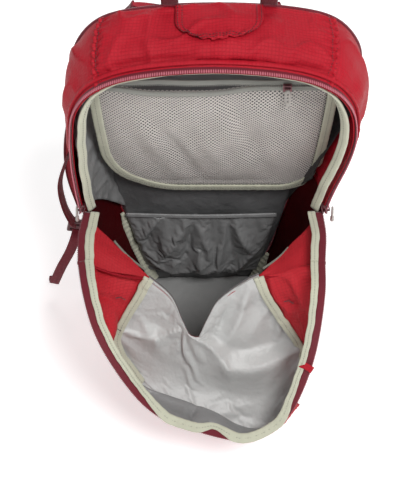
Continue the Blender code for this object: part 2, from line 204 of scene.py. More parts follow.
def smooth_spline(points, at):
    """Point of an outline at a station, which may lie between its points."""
    last = len(points) - 1
    i = min(max(int(math.floor(at)), 0), last - 1)
    t = at - i
    p0, p1, p2, p3 = (np.array(points[min(max(j, 0), last)]) for j in (i - 1, i, i + 1, i + 2))
    if i == 0:
        p0 = p1 * 2 - p2
    if i + 2 > last:
        p3 = p1 * (-1, 1)                  # the outlines are mirrored at the middle of the top
    return catmull_rom(p0, p1, p2, p3, t)


def shell(side, station, depth, lift=0.0):
    """Point of the pack's shell. depth is -1 at the front seam, 0 at the zipper line, 1 at the back seam."""
    zx, zz = smooth_spline(ZIP_LINE, station)
    if depth >= 0:
        x, z = smooth_spline(BACK_LINE, station)
        y, bulge = BACK_Y, BULGE_SIDE
    else:
        x, z = smooth_spline(FRONT_LINE, station)
        y = FRONT_FOOT_Y + (FRONT_TOP_Y - FRONT_FOOT_Y) * max((z - FOLD_Z) / (TOP_Z - FOLD_Z), 0)
        bulge = BULGE_GUSSET
    share = abs(depth)
    before, after = max(station - 0.05, 0), min(station + 0.05, CROWN)
    run = smooth_spline(ZIP_LINE, after) - smooth_spline(ZIP_LINE, before)
    out = np.array((run[1], 0, -run[0] * min(station, 1)))
    out /= np.linalg.norm(out)
    point = np.array((zx, 0, zz)) * (1 - share) + np.array((x, y, z)) * share
    point += out * (bulge * 4 * share * (1 - share) + lift)
    point[0] *= side
    return point


def shell_grid(places, depths, lift=0.0):
    """Grid of shell points; places are (side, station) pairs."""
    return lean([[shell(side, station, depth, lift) for depth in depths] for side, station in places])


def side_places(side, first, last, count):
    return [(side, at) for at in np.linspace(first, last, count)]


def over_top(first, count):
    """Places from one side over the top to the other, mirrored at the middle."""
    up = [(-1, at) for at in np.linspace(first, CROWN, count)]
    return up + [(1, at) for _, at in reversed(up[:-1])]


# ---------------------------------------------------------------- objects
def to_object(name, verts, faces, mat, uvs=None):
    mesh = bpy.data.meshes.new(name)
    mesh.from_pydata([tuple(v) for v in verts], [], faces)
    if uvs is not None:
        layer = mesh.uv_layers.new(name="UVMap")
        index = np.empty(len(mesh.loops), int)
        mesh.loops.foreach_get("vertex_index", index)
        layer.data.foreach_set("uv", np.asarray(uvs, float)[index].ravel())
    mesh.shade_smooth()
    mesh.materials.append(mat)
    obj = bpy.data.objects.new(name, mesh)
    bpy.context.scene.collection.objects.link(obj)
    return obj


def apply_modifiers(obj):
    graph = bpy.context.evaluated_depsgraph_get()
    mesh = bpy.data.meshes.new_from_object(obj.evaluated_get(graph), depsgraph=graph)
    old = obj.data
    obj.modifiers.clear()
    obj.data = mesh
    mesh.name = obj.name
    bpy.data.meshes.remove(old)


def grid_faces(rows, cols, closed=False):
    faces = []
    for r in range(rows - 1):
        for c in range(cols if closed else cols - 1):
            d = (c + 1) % cols
            faces.append((r * cols + c, r * cols + d, (r + 1) * cols + d, (r + 1) * cols + c))
    return faces


def tube_faces(rows, cols):
    """Faces of a tube made of rings, with a cap at each end as the last two."""
    last = (rows - 1) * cols
    return grid_faces(rows, cols, closed=True) + [tuple(range(cols))[::-1], tuple(range(last, last + cols))]


def grid_uvs(grid):
    """Length along the rows and columns in metres, so that every weave keeps its real scale."""
    across = np.linalg.norm(np.diff(grid, axis=1), axis=2)
    along = np.linalg.norm(np.diff(grid, axis=0), axis=2)
    u = np.c_[np.zeros(len(grid)), np.cumsum(across, axis=1)]
    u -= u.mean(axis=1, keepdims=True)
    v = np.r_[np.zeros((1, grid.shape[1])), np.cumsum(along, axis=0)]
    v = np.broadcast_to(v.mean(axis=1, keepdims=True), v.shape)
    return np.stack([u, v], axis=2).reshape(-1, 2)


def sheet(name, grid, mat, thickness=CLOTH):
    """Cloth of even thickness on a grid of points."""
    obj = to_object(name, grid.reshape(-1, 3), grid_faces(*grid.shape[:2]), mat, grid_uvs(grid))
    skin = obj.modifiers.new("Thickness", "SOLIDIFY")
    skin.thickness = thickness
    skin.offset = 0
    skin.use_even_offset = False
    apply_modifiers(obj)
    return obj


def frames_along(path, facing):
    """Unit directions across the band and out of its face."""
    across = unit(np.cross(np.gradient(path, axis=0), np.broadcast_to(facing, path.shape)))
    along = unit(np.gradient(path, axis=0))
    return across, np.cross(across, along)


def band(name, path, facing, width, height, mat, sides=10, square=0.55, pucker=0.0, period=0.007):
    """Webbing, binding or strap: a flat rounded section swept along a path, closed at both ends."""
    path = np.asarray(path, float)
    across, out = frames_along(path, facing)
    width = np.broadcast_to(np.asarray(width, float), len(path)) / 2
    height = np.broadcast_to(np.asarray(height, float), len(path)) / 2
    turn = np.linspace(0, 2 * math.pi, sides, endpoint=False)
    wide = np.sign(np.cos(turn)) * np.abs(np.cos(turn)) ** square
    tall = np.sign(np.sin(turn)) * np.abs(np.sin(turn)) ** square
    run = distance_along(path)
    wave = pucker * np.sin(run / period * 2 * math.pi + 2 * np.sin(run / period * 0.7))[:, None]
    spread = width[:, None] * wide * (1 + 0.10 * wave)
    lift = height[:, None] * tall * (1 + wave * (np.abs(wide) < 0.8))
    rings = path[:, None] + across[:, None] * spread[..., None] + out[:, None] * lift[..., None]
    around = np.linspace(0, 1, sides) * 4 * width.mean()
    uvs = np.stack(np.broadcast_arrays(around[None, :], run[:, None]), axis=2).reshape(-1, 2)
    obj = to_object(name, rings.reshape(-1, 3), tube_faces(len(path), sides), mat, uvs)
    for cap in (-2, -1):
        obj.data.polygons[cap].use_smooth = False
    return obj


CAPSULE_RINGS = ((0.0, 0.3), (0.12, 0.75), (0.5, 1.0), (0.88, 0.75), (1.0, 0.3))
CAPSULE_SIDES = 6


def capsules(name, segments, radius, mat):
    """Many short rounded rods in one object: stitches, or the teeth of a zipper."""
    starts, ends = (np.array(points) for points in zip(*segments))
    run = ends - starts
    way = unit(run)
    helper = np.where(np.abs(way[:, 2:3]) < 0.9, (0.0, 0.0, 1.0), (1.0, 0.0, 0.0))
    e1 = unit(np.cross(way, helper))
    e2 = np.cross(way, e1)
    verts = []
    for share, wide in CAPSULE_RINGS:
        for turn in np.arange(CAPSULE_SIDES) * 2 * math.pi / CAPSULE_SIDES:
            verts.append(starts + run * share + (e1 * math.cos(turn) + e2 * math.sin(turn)) * radius * wide)
    verts = np.stack(verts, axis=1)
    per = verts.shape[1]
    one = tube_faces(len(CAPSULE_RINGS), CAPSULE_SIDES)
    faces = [tuple(i * per + v for v in face) for i in range(len(starts)) for face in one]
    return to_object(name, verts.reshape(-1, 3), faces, mat, np.zeros((len(starts) * per, 2)))


def stitch_line(path, step, gap):
    """Start and end of each stitch along a path."""
    count = max(int(length(path) / step), 2)
    points = even(path, count * 2 + 1)[::2]
    share = (step - gap) / step
    return [(start, start + (after - start) * share) for start, after in zip(points, points[1:])]


def settled(grid, slack, pull, frames, cap):
    """Lets a sheet with extra cloth settle under gravity, held at its edges; returns the new grid."""
    rows, cols = grid.shape[:2]
    pinned = np.ones((rows, cols), bool)
    pinned[1:-1, 1:-1] = False
    obj = to_object("drape", grid.reshape(-1, 3), grid_faces(rows, cols), bpy.data.materials[0])
    group = obj.vertex_groups.new(name="pins")
    group.add([int(i) for i in np.flatnonzero(pinned)], 1.0, "REPLACE")
    cloth = obj.modifiers.new("Cloth", "CLOTH")
    cloth.settings.vertex_group_mass = "pins"
    cloth.settings.quality = 5
    cloth.settings.mass = 0.12
    cloth.settings.tension_stiffness = 12
    cloth.settings.compression_stiffness = 12
    cloth.settings.shear_stiffness = 4
    cloth.settings.bending_stiffness = 0.35
    cloth.settings.shrink_min = -slack
    cloth.settings.effector_weights.gravity = pull
    cloth.collision_settings.use_collision = False
    cloth.point_cache.frame_start = 1
    cloth.point_cache.frame_end = frames
    scene = bpy.context.scene
    for number in range(1, frames + 1):
        scene.frame_set(number)
    graph = bpy.context.evaluated_depsgraph_get()
    result = np.empty(rows * cols * 3)
    obj.evaluated_get(graph).data.vertices.foreach_get("co", result)
    bpy.data.objects.remove(obj, do_unlink=True)
    scene.frame_set(1)
    moved = result.reshape(grid.shape) - grid
    size = np.linalg.norm(moved, axis=2, keepdims=True)
    return grid + moved * np.minimum(1, cap / np.maximum(size, 1e-9))


def finer(grid, times=3):
    rows, cols = grid.shape[:2]
    return patch(grid, (rows - 1) * times + 1, (cols - 1) * times + 1)


def place(obj, body, slot, *nodes):
    """Gives a piece its body and hides the CAD nodes that it stands for; its slot is not used."""
    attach(obj, body)
    if nodes:
        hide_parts(*nodes)
    return obj


def sew(name, lines, body, slot, mat, radius=0.00030, step=0.0030, gap=0.0012):
    """Rows of stitches along some lines, as one object."""
    stitches = [stitch for line in lines for stitch in stitch_line(line, step, gap)]
    place(capsules(name, stitches, radius, mat), body, slot)


# ---------------------------------------------------------------- materials
def new_material(name, roughness, metallic=0.0, sheen=0.0, specular=0.5):
    mat = bpy.data.materials.new(name)
    mat.use_nodes = True
    shader = mat.node_tree.nodes["Principled BSDF"]
    shader.inputs["Roughness"].default_value = roughness
    shader.inputs["Metallic"].default_value = metallic
    shader.inputs["Specular IOR Level"].default_value = specular
    shader.inputs["Sheen Weight"].default_value = sheen
    shader.inputs["Sheen Roughness"].default_value = 0.4
    return mat, mat.node_tree, shader


def add_node(tree, kind, inputs=(), **settings):
    made = tree.nodes.new(kind)
    for key, value in settings.items():
        setattr(made, key, value)
    for key, value in dict(inputs).items():
        if isinstance(value, bpy.types.NodeSocket):
            tree.links.new(value, made.inputs[key])
        else:
            made.inputs[key].default_value = value
    return made


def maths(tree, operation, a, b=0.0):
    return add_node(tree, "ShaderNodeMath", {0: a, 1: b}, operation=operation).outputs[0]


def uv_axes(tree):
    uv = add_node(tree, "ShaderNodeTexCoord").outputs["UV"]
    split = add_node(tree, "ShaderNodeSeparateXYZ", {0: uv})
    return split.outputs[0], split.outputs[1]


def thread_lines(tree, period, share):
    """Mask of a square grid of thicker threads."""
    masks = []
    for axis in uv_axes(tree):
        part = maths(tree, "FRACT", maths(tree, "DIVIDE", axis, period))
        masks.append(maths(tree, "LESS_THAN", part, share))
    return maths(tree, "MAXIMUM", masks[0], masks[1])


def ribs(tree, axis, period):
    wave = maths(tree, "SINE", maths(tree, "MULTIPLY", axis, 2 * math.pi / period))
    return maths(tree, "MULTIPLY_ADD", wave, 0.5)


def plain_weave(tree, period):
    u, v = uv_axes(tree)
    over = maths(tree, "SINE", maths(tree, "MULTIPLY", u, 2 * math.pi / period))
    under = maths(tree, "SINE", maths(tree, "MULTIPLY", v, 2 * math.pi / period))
    return maths(tree, "MULTIPLY", over, under)


def cloud(tree, size, detail=3.0):
    place_at = add_node(tree, "ShaderNodeTexCoord").outputs["Object"]
    settings = {"Vector": place_at, "Scale": 1 / size, "Detail": detail}
    return add_node(tree, "ShaderNodeTexNoise", settings).outputs[0]


def mix_colour(tree, amount, a, b):
    made = add_node(tree, "ShaderNodeMix", data_type="RGBA")
    for socket, value in ((0, amount), (6, a), (7, b)):
        if isinstance(value, bpy.types.NodeSocket):
            tree.links.new(value, made.inputs[socket])
        else:
            made.inputs[socket].default_value = value if socket == 0 else (*value, 1)
    return made.outputs[2]


def scaled(colour, factor):
    return tuple(min(c * factor, 1) for c in colour)


def finish_cloth(tree, shader, colour, heights, rough, spread=0.08):
    """Plugs in the colour, a roughness that varies from place to place, and a stack of bumps."""
    tree.links.new(colour, shader.inputs["Base Color"])
    patchy = add_node(tree, "ShaderNodeMapRange", {"Value": cloud(tree, 0.03), "To Min": rough - spread,
                                                   "To Max": rough + spread}).outputs[0]
    tree.links.new(patchy, shader.inputs["Roughness"])
    normal = None
    for height, distance in heights:
        bump = add_node(tree, "ShaderNodeBump", {"Height": height, "Distance": distance, "Strength": 1.0})
        if normal is not None:
            tree.links.new(normal, bump.inputs["Normal"])
        normal = bump.outputs["Normal"]
    tree.links.new(normal, shader.inputs["Normal"])


def ripstop_material(name, base, specular=0.15):
    """Light ripstop nylon: plain weave, a grid of double threads, and a crinkle from being packed."""
    mat, tree, shader = new_material(name, 0.5, specular=specular)
    lines = thread_lines(tree, 0.0034, 0.16)
    tone = mix_colour(tree, cloud(tree, 0.05), scaled(base, 0.86), scaled(base, 1.12))
    colour = mix_colour(tree, maths(tree, "MULTIPLY", lines, 0.40), tone, scaled(base, 0.62))
    bumps = ((lines, 0.00016), (plain_weave(tree, 0.0007), 0.00005), (cloud(tree, 0.007, 4), 0.0009))
    finish_cloth(tree, shader, colour, bumps, 0.50)
    return mat


def lining_material(name, base, rough):
    """Coated nylon lining: a faint weave under a film that shines in broad, crinkled patches."""
    mat, tree, shader = new_material(name, rough, specular=0.6)
    weave = plain_weave(tree, 0.0009)
    tone = mix_colour(tree, cloud(tree, 0.04), scaled(base, 0.9), scaled(base, 1.08))
    colour = mix_colour(tree, maths(tree, "MULTIPLY", weave, 0.08), tone, scaled(base, 0.7))
    bumps = ((weave, 0.00003), (cloud(tree, 0.012, 4), 0.0012), (cloud(tree, 0.0035, 2), 0.0003))
    finish_cloth(tree, shader, colour, bumps, rough, 0.06)
    return mat


def ribbed_material(name, base, period, depth, rough=0.75, sheen=0.3):
    """Woven tape or webbing: ribs across its length, a fainter rib along it, painted shade in the grooves
    between the cross ribs, worn lighter here and there.
    """
    mat, tree, shader = new_material(name, rough, sheen=sheen, specular=0.35)
    u, v = uv_axes(tree)
    cross_ribs = ribs(tree, v, period)
    long_ribs = ribs(tree, u, period * 1.7)
    tone = mix_colour(tree, cloud(tree, 0.02), scaled(base, 0.85), scaled(base, 1.15))
    # painted shade: the colour darkens in the grooves between the cross ribs
    dark = maths(tree, "MULTIPLY", maths(tree, "SUBTRACT", 1.0, cross_ribs), 0.4)
    colour = mix_colour(tree, dark, tone, scaled(base, 0.55))
    bumps = ((cross_ribs, depth), (long_ribs, depth * 0.5), (cloud(tree, 0.004), 0.0004))
    finish_cloth(tree, shader, colour, bumps, rough)
    return mat


def spacer_material(name, base):
    """Knitted spacer mesh: rows of small round holes over foam, darkened with painted shade."""
    mat, tree, shader = new_material(name, 0.85, sheen=0.3, specular=0.3)
    place_at = add_node(tree, "ShaderNodeTexCoord").outputs["Object"]
    cells = add_node(tree, "ShaderNodeTexVoronoi", {"Vector": place_at, "Scale": 420.0})
    hole = maths(tree, "LESS_THAN", cells.outputs["Distance"], 0.34)
    tone = mix_colour(tree, cloud(tree, 0.03), scaled(base, 0.85), scaled(base, 1.15))
    # painted shade: the holes are darkened as hollows in shade
    colour = mix_colour(tree, maths(tree, "MULTIPLY", hole, 0.75), tone, scaled(base, 0.25))
    bumps = ((maths(tree, "SUBTRACT", 1.0, hole), 0.0004), (cloud(tree, 0.01), 0.0006))
    finish_cloth(tree, shader, colour, bumps, 0.85)
    return mat


def hard_material(name, base, rough, metallic, grain):
    """Cast metal or moulded plastic, with fine grain and handling marks."""
    mat, tree, shader = new_material(name, rough, metallic)
    colour = mix_colour(tree, cloud(tree, 0.006, 5), scaled(base, 0.8), scaled(base, 1.15))
    finish_cloth(tree, shader, colour, ((cloud(tree, 0.0012, 4), grain),), rough, 0.1)
    return mat


RED = ripstop_material("ripstop_red", (0.425, 0.010, 0.022))
# painted light: a lighter copy of the red ripstop for the gussets' inner faces, which face the key light
RED_PAINTED_LIT = ripstop_material("ripstop_inside", (0.50, 0.022, 0.032))
RED_SHADED = ripstop_material("ripstop_shaded", (0.060, 0.0030, 0.0045), 0.03)
GREY = lining_material("lining_light", (0.50, 0.50, 0.49), 0.38)
# painted shade: darker copies of the grey lining, for the sleeve, the floor, the shaded walls and the nearly
# black right wall; the flap's lining above shows its own grey
GREY_HALF_SHADE = lining_material("lining_sleeve", (0.235, 0.235, 0.235), 0.36)
GREY_SOFT_SHADE = lining_material("lining_middle", (0.30, 0.30, 0.295), 0.40)
GREY_SHADED = lining_material("lining_shaded", (0.135, 0.135, 0.137), 0.38)
GREY_DEEP_SHADE = lining_material("lining_deep", (0.030, 0.027, 0.027), 0.50)
CRIMSON = ribbed_material("webbing_crimson", (0.165, 0.008, 0.020), 0.0016, 0.00025)
TAPE = ribbed_material("zip_tape_crimson", (0.150, 0.007, 0.018), 0.0009, 0.00010)
TEETH = hard_material("coil_teeth", (0.52, 0.15, 0.19), 0.35, 0.0, 0.00005)
# painted shade: a darker copy of the coil teeth, for the teeth on the underside of the flap's rim
TEETH_SHADED = hard_material("coil_teeth_dark", (0.17, 0.012, 0.026), 0.40, 0.0, 0.00005)
SAGE = ribbed_material("binding_sage", (0.57, 0.57, 0.445), 0.0011, 0.00014, 0.8)
NET = ribbed_material("net_warm_grey", (0.74, 0.69, 0.65), 0.0008, 0.00008, 0.7)
NET_TAPE = ribbed_material("net_tape_grey", (0.34, 0.34, 0.31), 0.0009, 0.00010)
BACK_CLOTH = ribbed_material("back_cloth", (0.24, 0.012, 0.022), 0.0012, 0.00014)
STRAP_CLOTH = ribbed_material("strap_cloth", (0.36, 0.016, 0.030), 0.0012, 0.00014, 0.7)
PAD = spacer_material("spacer_mesh", (0.13, 0.010, 0.016))
THREAD = ribbed_material("thread_crimson", (0.10, 0.005, 0.012), 0.0006, 0.00004, 0.6)
THREAD_PALE = ribbed_material("thread_pale", (0.20, 0.20, 0.165), 0.0006, 0.00004, 0.6)
THREAD_DARK = ribbed_material("thread_dark", (0.035, 0.010, 0.012), 0.0006, 0.00004, 0.6)
METAL = hard_material("slider_metal", (0.22, 0.10, 0.11), 0.38, 0.8, 0.00006)
CORD = ribbed_material("pull_cord", (0.46, 0.43, 0.40), 0.0009, 0.00012)
PLASTIC = hard_material("lock_plastic", (0.070, 0.006, 0.010), 0.42, 0.0, 0.00008)


# ---------------------------------------------------------------- shell of the pack
LOWER_SAG = 0.028                      # of the lower side wall's front top edge
WALL_DENTS = 0.055, 0.005, 3.1         # size, depth and seed


def lower_wall(side, lift=0.0):
    """Side wall below the fold, sagging at its front top edge."""
    depths = np.linspace(-1, 1, 54)
    stations = np.linspace(0, FOLD, 46)
    grid = shell_grid([(side, at) for at in stations], depths, lift)
    grid[..., 2] -= LOWER_SAG * np.clip(-depths, 0, 1)[None, :] * (stations[:, None] / FOLD) ** 2
    size, depth, seed = WALL_DENTS
    return crumple(grid, size, depth * side, seed)


def upper_wall(side):
    """Side wall between the zipper and the back: smooth beside its seams, softly dented between them."""
    depths = np.linspace(0, 1, 34)
    grid = shell_grid(side_places(side, FOLD, SEAM, 70), depths)
    along = np.linspace(0, 1, 70)
    size, depth, seed = WALL_DENTS
    soft = creased(grid, (size, depth * side, seed), (0.045, 0.003 * side, 7.7))
    edge = np.clip(np.minimum(along * 14, 0.3 + (1 - along) * 8), 0, 1)[:, None]
    open_edge = np.clip(np.minimum((depths - 0.10) * 6, (1 - depths) * 12), 0, 1)[None, :]
    return partly(grid, soft, (edge * open_edge)[..., None])


def make_sides():
    """Both side walls; inside the lower ones lies a thin near-black red sheet of painted shade, where they
    stand in deep shade.
    """
    for name, side in SIDES:
        place(sheet(f"side_wall_{name}", lower_wall(side), RED), "pack", "ripstop", f"side_panel_{name}")
        # painted shade: a dark copy of the red ripstop just inside each lower wall stands in for its deep
        # shadow
        painted_shade = lower_wall(side, -0.0016)[:-3, 2:-1]
        place(sheet(f"side_wall_coating_{name}", painted_shade, RED_SHADED, 0.0004), "pack", "ripstop")
        place(sheet(f"side_cloth_{name}", upper_wall(side), RED), "pack", "ripstop")


def top_grid():
    """Top panel: domed, drawn in where it is sewn to the sides, with a long crease above the zipper."""
    places = over_top(SEAM, 66)
    depths = np.linspace(0, 1, 48)
    grid = shell_grid(places, depths)
    stations = np.array([at for _, at in places])
    near_seam = np.clip((stations - SEAM) / 0.35, 0, 1)[:, None]
    pucker = (1 - near_seam) * 0.0016 * np.sin(depths * 62)[None, :]
    crease = 0.0050 * np.exp(-((depths - 0.16) / 0.045) ** 2)[None, :] * near_seam
    swell = 0.0035 * np.exp(-((depths - 0.33) / 0.12) ** 2)[None, :] * near_seam
    fixed = np.clip(np.minimum((depths - 0.08) * 9, (1 - depths) * 14), 0, 1)[None, :]
    grid = grid - normals(grid) * ((pucker + swell - crease) * fixed)[..., None]
    soft = creased(grid, (0.060, 0.006, 11.0), (0.032, -0.0030, 5.0))
    return partly(grid, soft, (fixed * (0.25 + 0.75 * near_seam))[..., None])


def row_at(grid, x, share):
    """Point of a grid at a share of its depth and at a distance x across."""
    column = grid[:, int(round(share * (grid.shape[1] - 1)))]
    order = np.argsort(column[:, 0])
    return np.array([np.interp(x, column[order, 0], column[order, k]) if k else x for k in range(3)])


HAUL_MIDDLE = 0.0125                   # the haul loop and its patch sit a little to the right
PATCH_HALF = 0.0405
PATCH_ROWS, PATCH_COLS = 26, 40


def haul_patch_grid(top):
    """U-shaped patch on the top panel behind the haul loop, gathered along its foot."""
    lifted = top + np.array((0, -0.0006, 0.0016))
    rows = []
    for v in np.linspace(0, 1, PATCH_ROWS):
        half = PATCH_HALF * (1 - 0.50 * max((v - 0.45) / 0.55, 0) ** 2.6)
        rows.append([row_at(lifted, HAUL_MIDDLE + u * half, 0.97 - 0.62 * v * (1 - 0.10 * abs(u) ** 4))
                     for u in np.linspace(-1, 1, PATCH_COLS)])
    grid = np.array(rows)
    near_foot = np.clip((np.linspace(0, 1, PATCH_ROWS) - 0.72) / 0.28, 0, 1)[:, None]
    gather = 0.0017 * near_foot * np.sin(np.linspace(0, 30, PATCH_COLS))[None, :] * (1 - near_foot * 0.5)
    grid[..., 2] += gather + 0.0012
    return grid


def make_top():
    top = top_grid()
    place(sheet("top_cloth", top, RED), "pack", "ripstop", "top_panel")
    grid = haul_patch_grid(top)
    place(sheet("haul_patch_cloth", grid, RED, 0.0012), "pack", "webbing", "haul_patch")
    lines = []
    for inset in (1, 3):
        left, right = grid[:-inset, inset], grid[:-inset, -1 - inset][::-1]
        foot = grid[-1 - inset, inset:-inset]
        lines.append(np.vstack([left, foot, right]) + (0, -0.0006, 0.0010))
    sew("haul_patch_stitches", lines, "pack", "webbing", THREAD, 0.00042, gap=0.0010)
    make_top_seams(top)


def make_top_seams(top):
    """Twin-needle seams and a ruched fold of cloth where the top meets each side."""
    lines = [(top + normals(top) * -0.0012)[row] for row in (0, 3, -1, -5)]
    sew("top_seam_stitches", lines, "pack", "webbing", THREAD, 0.00038, 0.0032)
    for name, row in (("left", 0), ("right", -1)):
        path = even(top[row], 70) - normals(top)[row][24] * 0.0002
        fold = band(f"top_seam_fold_{name}", path, (0, -0.35, 1), 0.0042, 0.0024, RED, pucker=0.45,
                    period=0.0065)
        place(fold, "pack", "ripstop")


def make_back():
    """Padded back panel, drawn in a little at its top, with piping round its edge."""
    half = np.array([smooth_spline(BACK_LINE, at) for at in np.linspace(0, CROWN, 60)])
    rows = []
    for x, height in half[:-1]:
        z = height - 0.009 * (height / 0.46) ** 6
        across = np.linspace(-1, 1, 44) * max(x - 0.001, 0.004)
        bow = (0.0052 + 0.0045 * (1 - (across / 0.14) ** 2)) * np.clip((0.462 - z) / 0.035, 0.15, 1)
        rows.append(np.stack([across, BACK_Y + bow, np.full(44, z)], axis=1))
    grid = lean(crumple(np.array(rows), 0.045, 0.0022, 2.0))
    panel = sheet("back_cloth_padded", grid, BACK_CLOTH, 0.0075)
    place(panel, "pack", "back_fabric", "back_panel")
    right = np.stack([half[:, 0], np.full(60, BACK_Y + 0.003), half[:, 1] - 0.004], axis=1)
    rim = np.vstack([right, right[-2::-1] * (-1, 1, 1)])
    seam = band("back_seam_piping", even(lean(rim), 300), (0, 1, 0.001), 0.0078, 0.0040, CRIMSON, pucker=0.1)
    place(seam, "pack", "webbing")


PAD_OUTLINE = [(-0.004, 0.0), (0.020, 0.004), (0.031, 0.045), (0.036, 0.11), (0.039, 0.19), (0.038, 0.26),
               (0.034, 0.30), (0.022, 0.329), (-0.002, 0.332)]
PAD_LENGTH = 0.332
PAD_FOOT_Z = 0.060
PAD_CHANNELS = 0.115, 0.225            # heights above the pad's foot


def make_back_pads():
    """Two domed pads of spacer mesh, each with two sewn channels across it."""
    for name, side in SIDES:
        rows = []
        for x, z in curve(PAD_OUTLINE, 60):
            spread = np.linspace(-1, 1, 26)
            edge = np.clip(1 - spread ** 4, 0, 1) * np.clip(min(z, PAD_LENGTH - z) / 0.016, 0, 1) ** 0.5
            groove = sum(0.5 * np.exp(-((z - at) / 0.004) ** 2) for at in PAD_CHANNELS)
            y = BACK_Y + 0.0125 + 0.0062 * edge * (1 - groove)
            across = side * 0.050 + spread * max(x + 0.004, 0.002)
            rows.append(np.stack([across, y, np.full(26, PAD_FOOT_Z + z)], axis=1))
        grid = lean(np.array(rows)) + np.array((0.003, 0, 0))
        pad = sheet(f"back_pad_mesh_{name}", grid, PAD, 0.0035)
        place(pad, "pack", "pad_mesh", f"back_pad_{name}")
        rim = np.vstack([grid[:, 0], grid[::-1, -1], grid[:1, 0]])
        edging = band(f"back_pad_edge_{name}", even(rim, 160), (0, 1, 0), 0.005, 0.003, CRIMSON, pucker=0.1)
        place(edging, "pack", "webbing")


def slump_line(shift, count=60):
    """The slumped fold at the foot of the flap, set off to either side of its own plane."""
    line = even(SLUMP, count)
    return line + FOLD_FACING * (FOLD_OFFSET + shift - line @ FOLD_FACING)[:, None]


def make_front():
    """Front strip below the fold, with its lining: a flat foot, and a top that follows the slumped fold."""
    top = slump_line(-0.0012)
    foot = np.linspace((-0.062, FRONT_FOOT_Y - 0.001, 0.004), (0.058, FRONT_FOOT_Y - 0.001, 0.004), 60)
    v = np.linspace(0, 1, 44)[:, None]
    flat = foot * (1 - v[..., None]) + top * v[..., None]
    flat[..., 1] -= 0.010 * hump(60) * np.sin(math.pi * v) + 0.002 * v * (1 - v)
    soft = creased(flat, (0.040, 0.003, 1.0), (0.022, 0.003, 8.0))
    grid = partly(flat, soft, hump(44)[:, None, None] ** 1.5)
    place(sheet("front_cloth", grid, RED), "pack", "ripstop", "front_strip")
    inside = grid[4:] + np.array((0, 0.0016, 0.0004))
    # the front lining's darker grey is painted shade
    place(sheet("front_lining", inside, GREY_SHADED), "pack", "lining")


def floor_grid(station, reach, rows, cols, inset, z):
    """Flat sheet inside the shell at one height, from front to back."""
    grid = []
    for depth in np.linspace(-reach, reach, rows):
        half, y, _ = shell(1, station, depth)
        across = np.linspace(-1, 1, cols) * (half - inset)
        grid.append(np.stack([across, np.full(cols, y), np.full(cols, z)], axis=1))
    return lean(np.array(grid))


def make_base():
    base = sheet("base_cloth", floor_grid(0, 1, 40, 44, 0, 0.0014), RED, 0.0022)
    place(base, "pack", "ripstop", "base_panel")


LINING_TOP = 8.3                       # station where the side linings end


def side_lining(side, first, front, back, lift, depth):
    """Lining of an upper side wall, from a depth to the back seam; its foot slopes down towards the back."""
    depths = np.linspace(first, 0.97, 34)
    feet = np.interp(depths, (first, 0.97), (front, back))
    rises = np.linspace(0, 1, 64)
    wall = [[shell(side, foot + (LINING_TOP - foot) * rise, at, lift) for foot, at in zip(feet, depths)]
            for rise in rises]
    return creased(lean(wall), (0.040, depth, 6.0), (0.022, 0.7 * depth * -side, 2.0))


def make_inside():
    """Grey linings: back wall, upper side walls and floor, each darker than the flap's lining with painted
    shade; the right wall's is nearly black, a painted shadow.
    """
    rows = []
    for z in np.linspace(0.010, 0.452, 70):
        at = np.interp(z, [p[1] for p in BACK_LINE], range(len(BACK_LINE)))
        across = np.linspace(-1, 1, 50) * (smooth_spline(BACK_LINE, at)[0] - 0.003)
        rows.append(np.stack([across, np.full(50, BACK_Y - 0.004), np.full(50, z)], axis=1))
    back = creased(lean(np.array(rows)), (0.045, 0.0035, 4.0), (0.020, -0.0015, 9.0))
    left = side_lining(-1, 0.08, 4.1, 2.2, -0.0065, 0.0030)
    right = side_lining(1, 0.60, 3.9, 2.3, -0.0050, 0.0012)
    floor = crumple(floor_grid(0.12, 0.98, 50, 50, 0.002, 0.0085), 0.040, 0.0030, 12.0)
    # painted shade in every grey here, and a nearly black painted shadow on the right wall
    for name, grid, mat in (("back_lining", back, GREY_SHADED), ("side_lining_left", left, GREY_HALF_SHADE),
                            ("side_lining_right", right, GREY_DEEP_SHADE), ("base_lining", floor, GREY_SOFT_SHADE)):
        place(sheet(name, grid, mat), "pack", "lining")


# Folds of the sleeve and of the flap's lining: two ends in shares of width and length, height, width
SLEEVE_FOLDS = (((0.22, 0.00), (0.03, 0.38), 0.0060, 0.006), ((0.40, 0.12), (0.10, 0.78), 0.0080, 0.009),
                ((0.46, 0.03), (0.36, 0.60), -0.0075, 0.006), ((0.46, 0.48), (0.51, 0.98), 0.0070, 0.005),
                ((0.50, 0.22), (0.58, 0.76), 0.0055, 0.008), ((0.65, 0.45), (0.64, 0.98), 0.0050, 0.005),
                ((0.68, 0.06), (0.76, 0.80), -0.0070, 0.006), ((0.74, 0.15), (0.91, 0.62), 0.0050, 0.006),
                ((0.87, 0.62), (0.75, 0.98), 0.0055, 0.004), ((0.28, 0.60), (0.22, 0.98), 0.0045, 0.006),
                ((0.16, 0.20), (0.06, 0.60), -0.0050, 0.005))
LINING_FOLDS = (((0.40, 0.05), (0.58, 0.62), 0.0170, 0.012), ((0.58, 0.64), (0.97, 0.60), 0.0130, 0.012),
                ((0.02, 0.52), (0.21, 0.54), 0.0080, 0.009), ((0.21, 0.54), (0.37, 0.20), 0.0100, 0.009),
                ((0.06, 0.34), (0.20, 0.52), 0.0050, 0.007), ((0.93, 0.06), (0.60, 0.45), 0.0120, 0.011),
                ((0.84, 0.04), (0.58, 0.30), -0.0090, 0.008), ((0.62, 0.48), (0.92, 0.50), -0.0090, 0.009),
                ((0.97, 0.24), (0.74, 0.44), 0.0060, 0.007), ((0.70, 0.12), (0.60, 0.30), 0.0050, 0.006),
                ((0.98, 0.44), (0.80, 0.56), -0.0050, 0.007), ((0.30, 0.80), (0.75, 0.95), -0.0040, 0.015))

